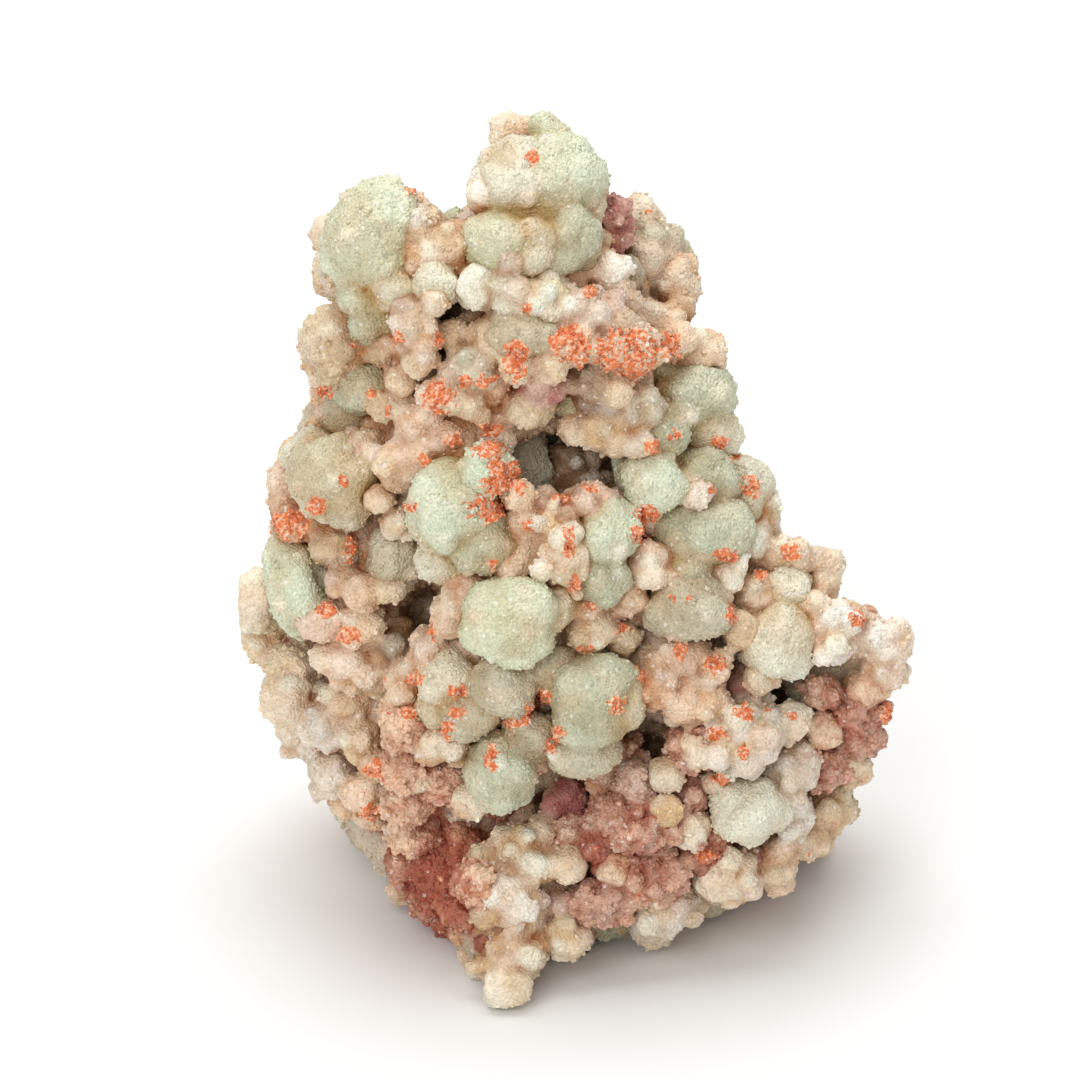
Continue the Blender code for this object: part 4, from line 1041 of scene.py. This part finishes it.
def grainTree():
    # scatters small blunt grains over a surface, more of them on orange crusts and none where it is shut in
    labels = ("density", "smallest", "largest", "seed")
    tree, geometry, value = shapeTree("grains", dict.fromkeys(labels, "Float"))

    def draw(low, high, seed):
        settings = {"data_type": "FLOAT_VECTOR"}
        values = {0: (low,) * 3, 1: (high,) * 3, "Seed": seed}
        return tree.node("FunctionNodeRandomValue", settings, values)[0]

    def drawOne(low, high, seed):
        settings = {"data_type": "FLOAT"}
        return tree.node("FunctionNodeRandomValue", settings, {2: low, 3: high, "Seed": seed})[0]

    more = tree.named("orange") * grainForm["onOrange"] + 1.0
    perMetre = 1.0e6  # square millimetres in a square metre
    density = (tree.named("open") * more) * value["density"] * perMetre
    settings = {"distribute_method": "RANDOM"}
    values = {"Mesh": geometry, "Density": density, "Seed": value["seed"]}
    points = tree.node("GeometryNodeDistributePointsOnFaces", settings, values)[0]
    grain = tree.node("GeometryNodeMeshIcoSphere", None, {"Radius": mm, "Subdivisions": 1})[0]
    spread = value["largest"] - value["smallest"]
    size = drawOne(0.0, 1.0, 1)
    stretch = tree.scaled(draw(*grainForm["stretch"], 2), size * size * spread + value["smallest"])
    turn = draw(*grainForm["turn"], 3)
    values = {"Points": points, "Instance": grain, "Rotation": turn, "Scale": stretch}
    placed = tree.node("GeometryNodeInstanceOnPoints", None, values)[0]
    tint = tree.scaled(tree.named("tint", "FLOAT_COLOR"), drawOne(*grainForm["bright"], 4))
    settings = {"data_type": "FLOAT_COLOR", "domain": "INSTANCE"}
    values = {"Geometry": placed, "Name": "tint", "Value": tint}
    tinted = tree.node("GeometryNodeStoreNamedAttribute", settings, values)[0]
    real = tree.node("GeometryNodeRealizeInstances", None, {"Geometry": tinted})[0]
    return closeTree(tree, real, value["material"])


# How deep on the front the spots reach, how far their edges spread, and where grains lie
painting = {"depth": 6.0, "spread": 1.7, "grainDepth": 0.9, "grainShare": (2.4, 0.7, 0.15)}


def paint(mesh):
    # gives each point its share of orange and red, and how crowded it is
    points = inMillimetres(mesh)
    right, up, near = onFace(points)
    front = near > faceNear(right, up) - painting["depth"]

    def spots(table):
        mask = np.zeros(len(points))
        for spotRight, spotUp, halfWidth, halfHeight, *strength in table:
            across = (right - spotRight) / halfWidth
            along = (up - spotUp) / halfHeight
            share = np.clip(painting["spread"] - np.hypot(across, along), 0.0, 1.0)
            mask = np.maximum(mask, share * sum(strength or [1.0]))
        return np.where(front, mask, 0.0)

    depth, crowd = shutIn(points, mainLumps)
    depth = np.maximum(depth, coreDepth(points))
    setAttribute(mesh, "orange", "FLOAT", spots(orangeCrusts))
    setAttribute(mesh, "red", "FLOAT", spots(redStains))
    # how crowded each point is between lumps: the mask of the painted shade in the gaps, and of fewer grains
    crowded = (crowd - crowding["open"]) / crowding["span"]
    setAttribute(mesh, "crowd", "FLOAT", np.clip(crowded, 0.0, 1.0))
    most, fall, least = painting["grainShare"]
    share = np.clip(most - crowd * fall, least, 1.0)
    setAttribute(mesh, "open", "FLOAT", np.where(depth < painting["grainDepth"], share, 0.0))


# The pieces of crust: which lumps each holds, how finely it is made, its surface and its grains
noduleSurface = {
    "cobbleSize": 2.7,
    "cobbleHeight": 0.32,
    "waveHeight": 1.4,
    "gritHeight": 0.20,
    "crumbHeight": 1.8,
    "pitDepth": 0.0,
}
crystalSurface = dict(noduleSurface, cobbleSize=1.0, cobbleHeight=0.14, waveHeight=0.5, gritHeight=0.20)
claySurface = dict(crystalSurface, cobbleSize=0.9, cobbleHeight=0.2, gritHeight=0.40, pitDepth=0.5)
surfaces = {nodule: noduleSurface, crystal: crystalSurface, clay: claySurface}
grains = {
    nodule: {"density": 1.2, "smallest": 0.12, "largest": 0.26, "seed": 3.0},
    crystal: {"density": 0.75, "smallest": 0.12, "largest": 0.36, "seed": 4.0},
    clay: {"density": 1.4, "smallest": 0.18, "largest": 0.46, "seed": 5.0},
}
parting = {"crown": 52.0, "back": 8.0, "right": 4.0, "foot": 21.0}
fineness = {"front": 0.305, "back": 0.47, "matrix": 0.75}
backShare = 0.6  # of the grains, on the back


def placeOf(lump):
    if lump.centre.y > parting["back"]:
        return "Back"
    if lump.kind == clay:
        return "Front"
    if lump.centre.z > parting["crown"]:
        return "Crown"
    if lump.centre.z < parting["foot"]:
        return "Foot"
    return "Right" if lump.centre.x > parting["right"] else "Left"


def settle(mesh):
    # keeps the piece on the floor and draws in what stands out of the solids' box
    points = pointsOf(mesh)
    inside = np.clip(points, *solidBounds)
    points = inside + (points - inside) * face["past"]
    points[:, 2] = np.maximum(points[:, 2], 0.0)
    mesh.vertices.foreach_set("co", points.ravel())
    mesh.update()


def dress(obj, smooth):
    obj.data.polygons.foreach_set("use_smooth", np.full(len(obj.data.polygons), smooth))
    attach(obj, body)
    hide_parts(node)
    corners = sum(len(p.vertices) - 2 for p in obj.data.polygons)
    print(obj.name, corners, "triangles")


# From what depth on the crust counts as hidden, and what share of it is kept
hiding = {"depth": 1.1, "kept": 0.04}


def thinHidden(obj):
    # thins what lies deep in the inner mass or in other lumps, which no one sees
    points = inMillimetres(obj.data)
    hidden = np.maximum(shutIn(points, mainLumps)[0], coreDepth(points)) > hiding["depth"]
    group = obj.vertex_groups.new(name="hidden")
    group.add(np.flatnonzero(hidden).tolist(), 1.0, "REPLACE")
    thin = obj.modifiers.new("thin", "DECIMATE")
    thin.vertex_group = group.name
    thin.ratio = 1.0 - hidden.mean() * (1.0 - hiding["kept"])
    return evaluated(obj)


def makePiece(name, mesh, voxel, form, strewn, material, thinned=evaluated):
    # fuses a mesh, raises its surface and strews its grains, which are a piece of their own
    raw = objectOf(name + "Lumps", mesh)
    fused = objectOf(name, mesh)
    fuse(fused, voxel)
    mesh = thinned(objectOf(name, evaluated(fused)))
    paint(mesh)
    raised = objectOf(name, mesh)
    runTree(raised, surface, dict(form, lumps=raw, material=material))
    mesh = evaluated(raised)
    bpy.data.objects.remove(raw)
    settle(mesh)
    scattered = objectOf(name + "Grains", mesh)
    runTree(scattered, grainShape, dict(strewn, material=material))
    small = evaluated(scattered)
    settle(small)
    for label, data, smooth in ((name + "Grains", small, False), (name, mesh, True)):
        data.name = label
        dress(objectOf(label, data), smooth)


def makeCrust(name, kind, place, material):
    lumps = [lump for lump in mainLumps + stems if lump.kind == kind and placeOf(lump) == place]
    small = [knob for knob in smallKnobs if knob.kind == kind and placeOf(knob.lump) == place]
    shift = np.array(face["shift"])
    parts = [lump.shape() for lump in lumps + small]
    parts = [(points + shift, corners, colours) for points, corners, colours in parts]
    onBack = place == "Back"
    strewn = dict(grains[kind], density=grains[kind]["density"] * (backShare if onBack else 1.0))
    voxel = fineness["back" if onBack else "front"]
    makePiece(name, meshOf(name, parts), voxel, surfaces[kind], strewn, material, thinHidden)


# Patterns in the stone's colour: sizes in millimetres and the levels between which they show
pattern = {
    "fine": 0.28,
    "warm": 3.6,
    "warmLevels": (0.45, 0.66),
    "stain": 1.0,
    "stainLevels": (0.35, 1.15),
    "stainEdge": (0.0, 0.25),
    "crumb": 0.8,
    "fleck": 1.9,
    "fleckLevels": (0.21, 0.15),
    "ragged": 2.3,
    "crustLevels": (0.54, 0.62),
    "pale": 0.42,
    "paleLevels": (0.46, 0.62),
    "deep": 0.8,
    "deepLevels": (0.48, 0.36),
    "speck": 7.0,
    "speckLevels": (0.034, 0.022),
    "glintLevel": 0.985,
}


def stoneMaterial(name, look):
    material = bpy.data.materials.new(name)
    material.use_nodes = True
    material.node_tree.nodes.clear()
    tree = Tree(material.node_tree)
    place = tree.node("ShaderNodeTexCoord")[3]
    inMm = tree.scaled(place, 1.0 / mm)

    def attribute(label):
        return tree.node("ShaderNodeAttribute", {"attribute_name": label})

    def cells(size):
        return tree.node("ShaderNodeTexVoronoi", None, {"Vector": inMm, "Scale": 1.0 / size})

    def clouds(label, detail=2.0):
        return tree.clouds(inMm, pattern[label], detail)

    def levels(link, label):
        return link.ramp(*pattern[label + "Levels"])

    def colour(name):
        return (*linear(look[name]), 1.0)

    tint = attribute("tint")[0]
    orange = attribute("orange")[2]
    red = attribute("red")[2]
    crowd = attribute("crowd")[2]
    grains = cells(look["grainSize"])
    grainTone = tree.node("ShaderNodeSeparateColor", None, {0: grains[1]})[0]
    fine = clouds("fine", 3.0)

    # the stone's own colour, warmer in random patches, with a warm painted shade in the crowded gaps between
    # lumps
    warm = tree.mix(levels(clouds("warm"), "warm") * look["warmth"], tint, colour("warmColour"))
    # painted shade: darker and warmer where the point is crowded between lumps
    shut = tree.mix(crowd * look["paintedShadeShare"], warm, colour("paintedShadeColour"), "MULTIPLY")
    patches = levels(red + crowd * 0.4 + (clouds("stain") - 0.5) * 1.6, "stain")
    patches = patches * red.ramp(*pattern["stainEdge"])
    stained = tree.mix(patches * look["stain"], shut, colour("stainColour"))
    tone = 1.0 + (grainTone - 0.5) * look["grainTone"] + (fine - 0.5) * look["fineTone"]
    sugary = tree.scaled(stained, tone)

    # orange crusts with paler crumbs, and small orange flecks all over
    crumbs = clouds("crumb", 4.0)
    fleck = cells(pattern["fleck"])
    fleckDraw = tree.node("ShaderNodeSeparateColor", None, {0: fleck[1]})[1]
    flecks = levels(fleck[0] + (crumbs - 0.5) * 0.6, "fleck") * fleckDraw.over(1.0 - look["flecks"])
    ragged = (crumbs - 0.5) * 2.8 + (clouds("ragged") - 0.5) * 1.6
    edge = levels(orange + orange.ramp(0.0, 0.4) * ragged, "crust")
    crusted = tree.mix(levels(clouds("pale", 4.0), "pale"), colour("orange"), colour("paleOrange"))
    crusted = tree.mix(levels(clouds("deep"), "deep") * 0.6, crusted, colour("deepOrange"))
    crusted = tree.scaled(crusted, 1.0 + (fine - 0.5) * 1.2)
    base = tree.mix(edge.maths("MAXIMUM", flecks), sugary, crusted)

    # rare dark specks and bright glints
    speck = levels(cells(pattern["speck"])[0], "speck")
    base = tree.mix(speck * 0.85, base, colour("speck"))
    glint = grainTone.over(pattern["glintLevel"])
    base = tree.mix(glint * 0.5, base, look["glintLight"])

    height = (1.0 - grains[0]) * look["grainHeight"] + fine * 0.55
    values = {"Strength": 1.0, "Distance": look["relief"] * mm, "Height": height}
    bump = tree.node("ShaderNodeBump", None, values)[0]
    values = {"Base Color": base, "Roughness": look["roughness"] - glint * 0.4, "Normal": bump}
    shader = tree.node("ShaderNodeBsdfPrincipled", None, values)[0]
    tree.node("ShaderNodeOutputMaterial", None, {0: shader})
    return material


noduleLook = {
    "grainSize": 0.30,
    "grainTone": 0.14,
    "grainHeight": 0.45,
    "fineTone": 0.8,
    "relief": 0.33,
    "warmth": 0.38,
    "warmColour": (0.90, 0.84, 0.72),
    # painted shade in the crowded gaps: its share and its colour
    "paintedShadeShare": 0.95,
    "paintedShadeColour": (0.82, 0.67, 0.46),
    "stain": 0.9,
    "stainColour": (0.69, 0.36, 0.26),
    "flecks": 0.012,
    "orange": (0.92, 0.50, 0.29),
    "paleOrange": (0.99, 0.80, 0.66),
    "deepOrange": (0.77, 0.33, 0.18),
    "speck": (0.22, 0.20, 0.16),
    "glintLight": (0.95, 0.93, 0.88, 1.0),  # a light value, not a display colour
    "roughness": 0.5,
}
crystalLook = dict(
    noduleLook,
    relief=0.28,
    warmth=0.42,
    warmColour=(0.92, 0.84, 0.72),
    # painted shade in the gaps
    paintedShadeColour=(0.78, 0.55, 0.33),
    flecks=0.04,
)
clayLook = dict(
    noduleLook,
    grainTone=0.24,
    warmth=0.5,
    warmColour=(0.84, 0.63, 0.52),
    # painted shade in the gaps
    paintedShadeColour=(0.70, 0.41, 0.27),
    flecks=0.12,
)


# Where the inner mass counts as in the front, which gets the painted shade: how deep, and how far in from the
# edges
matrixFront = {"depth": 14.0, "room": 5.0}
matrixSurface = dict(crystalSurface, cobbleSize=1.6, cobbleHeight=0.5, waveHeight=1.6, gritHeight=0.6)
matrixGrains = dict(grains[clay], density=0.6)


def makeMatrix(material):
    # the inner mass, seen between the lumps, low on the sides and underneath: painted darker in the front, as
    # shade in the gaps
    mesh = coreMesh.copy()
    points = pointsOf(mesh) + np.array(face["shift"], np.float32) * mm
    mesh.vertices.foreach_set("co", points.ravel())
    right, up, near = onFace(inMillimetres(mesh))
    leftEdge, rightEdge, _ = faceRow(up)
    room = matrixFront["room"]
    inFront = (right > leftEdge + room) & (right < rightEdge - room)
    inFront &= near > faceNear(right, up) - matrixFront["depth"]
    # painted shade: the front of the inner mass, seen in the gaps, is given the dark shade brown
    colours = np.where(inFront[:, None], linear(tints["umber"]), linear(tints["matrix"]))
    setAttribute(mesh, "tint", "FLOAT_COLOR", colours)
    makePiece("matrix", mesh, fineness["matrix"], matrixSurface, matrixGrains, material)


print("growing the crust")
surface = surfaceTree()
grainShape = grainTree()
materials = {
    nodule: stoneMaterial("boraciteNodule", noduleLook),
    crystal: stoneMaterial("hilgarditeCrystal", crystalLook),
    clay: stoneMaterial("pinkClay", clayLook),
}
for kind, label in ((nodule, "nodules"), (crystal, "crystals"), (clay, "clay")):
    for place in sorted({placeOf(lump) for lump in mainLumps if lump.kind == kind}):
        makeCrust(label + place, kind, place, materials[kind])
makeMatrix(materials[crystal])


print("lighting the table")
scene = bpy.context.scene
scene.view_settings.view_transform = "Standard"

studio = {
    "distance": 2600.0,
    "field": 108.0,  # what the picture's width shows at the cluster
    "floorSize": 6000.0,
    "floorColour": (0.93, 0.93, 0.925),
    "floorRoughness": 0.9,
    "worldLight": 0.50,
    "aim": Vector((0.0, 0.0, 0.03)),
}

# Lamps: name, place and size in metres, and power
lamps = [
    ("top", (-0.02, 0.22, 0.88), 0.9, 7.2),
    ("front", (-0.35, -0.9, 0.75), 0.7, 6.0),
]


def makeFloor():
    bm = bmesh.new()
    bmesh.ops.create_grid(bm, x_segments=1, y_segments=1, size=studio["floorSize"] / 2.0 * mm)
    mesh = bpy.data.meshes.new("floor")
    bm.to_mesh(mesh)
    bm.free()
    floor = objectOf("floor", mesh)
    material = bpy.data.materials.new("paleFloor")
    material.use_nodes = True
    shader = material.node_tree.nodes["Principled BSDF"]
    shader.inputs["Base Color"].default_value = (*linear(studio["floorColour"]), 1.0)
    shader.inputs["Roughness"].default_value = studio["floorRoughness"]
    mesh.materials.append(material)


def makeCamera():
    aim = (facePoint(0.0, 0.0, 0.0) + face["shift"]) * mm
    away = faceAxes()[2] * studio["distance"] * mm
    data = bpy.data.cameras.new("camera")
    data.lens = data.sensor_width * studio["distance"] / studio["field"]
    data.clip_end = 100.0
    camera = objectOf("camera", data)
    camera.location = aim + away
    camera.rotation_euler = (math.pi / 2.0 - face["tilt"], 0.0, 0.0)
    scene.camera = camera


def makeLamp(name, place, size, power):
    data = bpy.data.lights.new(name, "AREA")
    data.size = size
    data.energy = power
    lamp = objectOf(name, data)
    lamp.location = place
    lamp.rotation_euler = (studio["aim"] - lamp.location).to_track_quat("-Z", "Y").to_euler()


def makeWorld():
    world = bpy.data.worlds.new("studio")
    world.use_nodes = True
    background = world.node_tree.nodes["Background"]
    background.inputs["Color"].default_value = (1.0, 1.0, 1.0, 1.0)
    background.inputs["Strength"].default_value = studio["worldLight"]
    scene.world = world


makeFloor()
makeCamera()
makeWorld()
for lamp in lamps:
    makeLamp(*lamp)
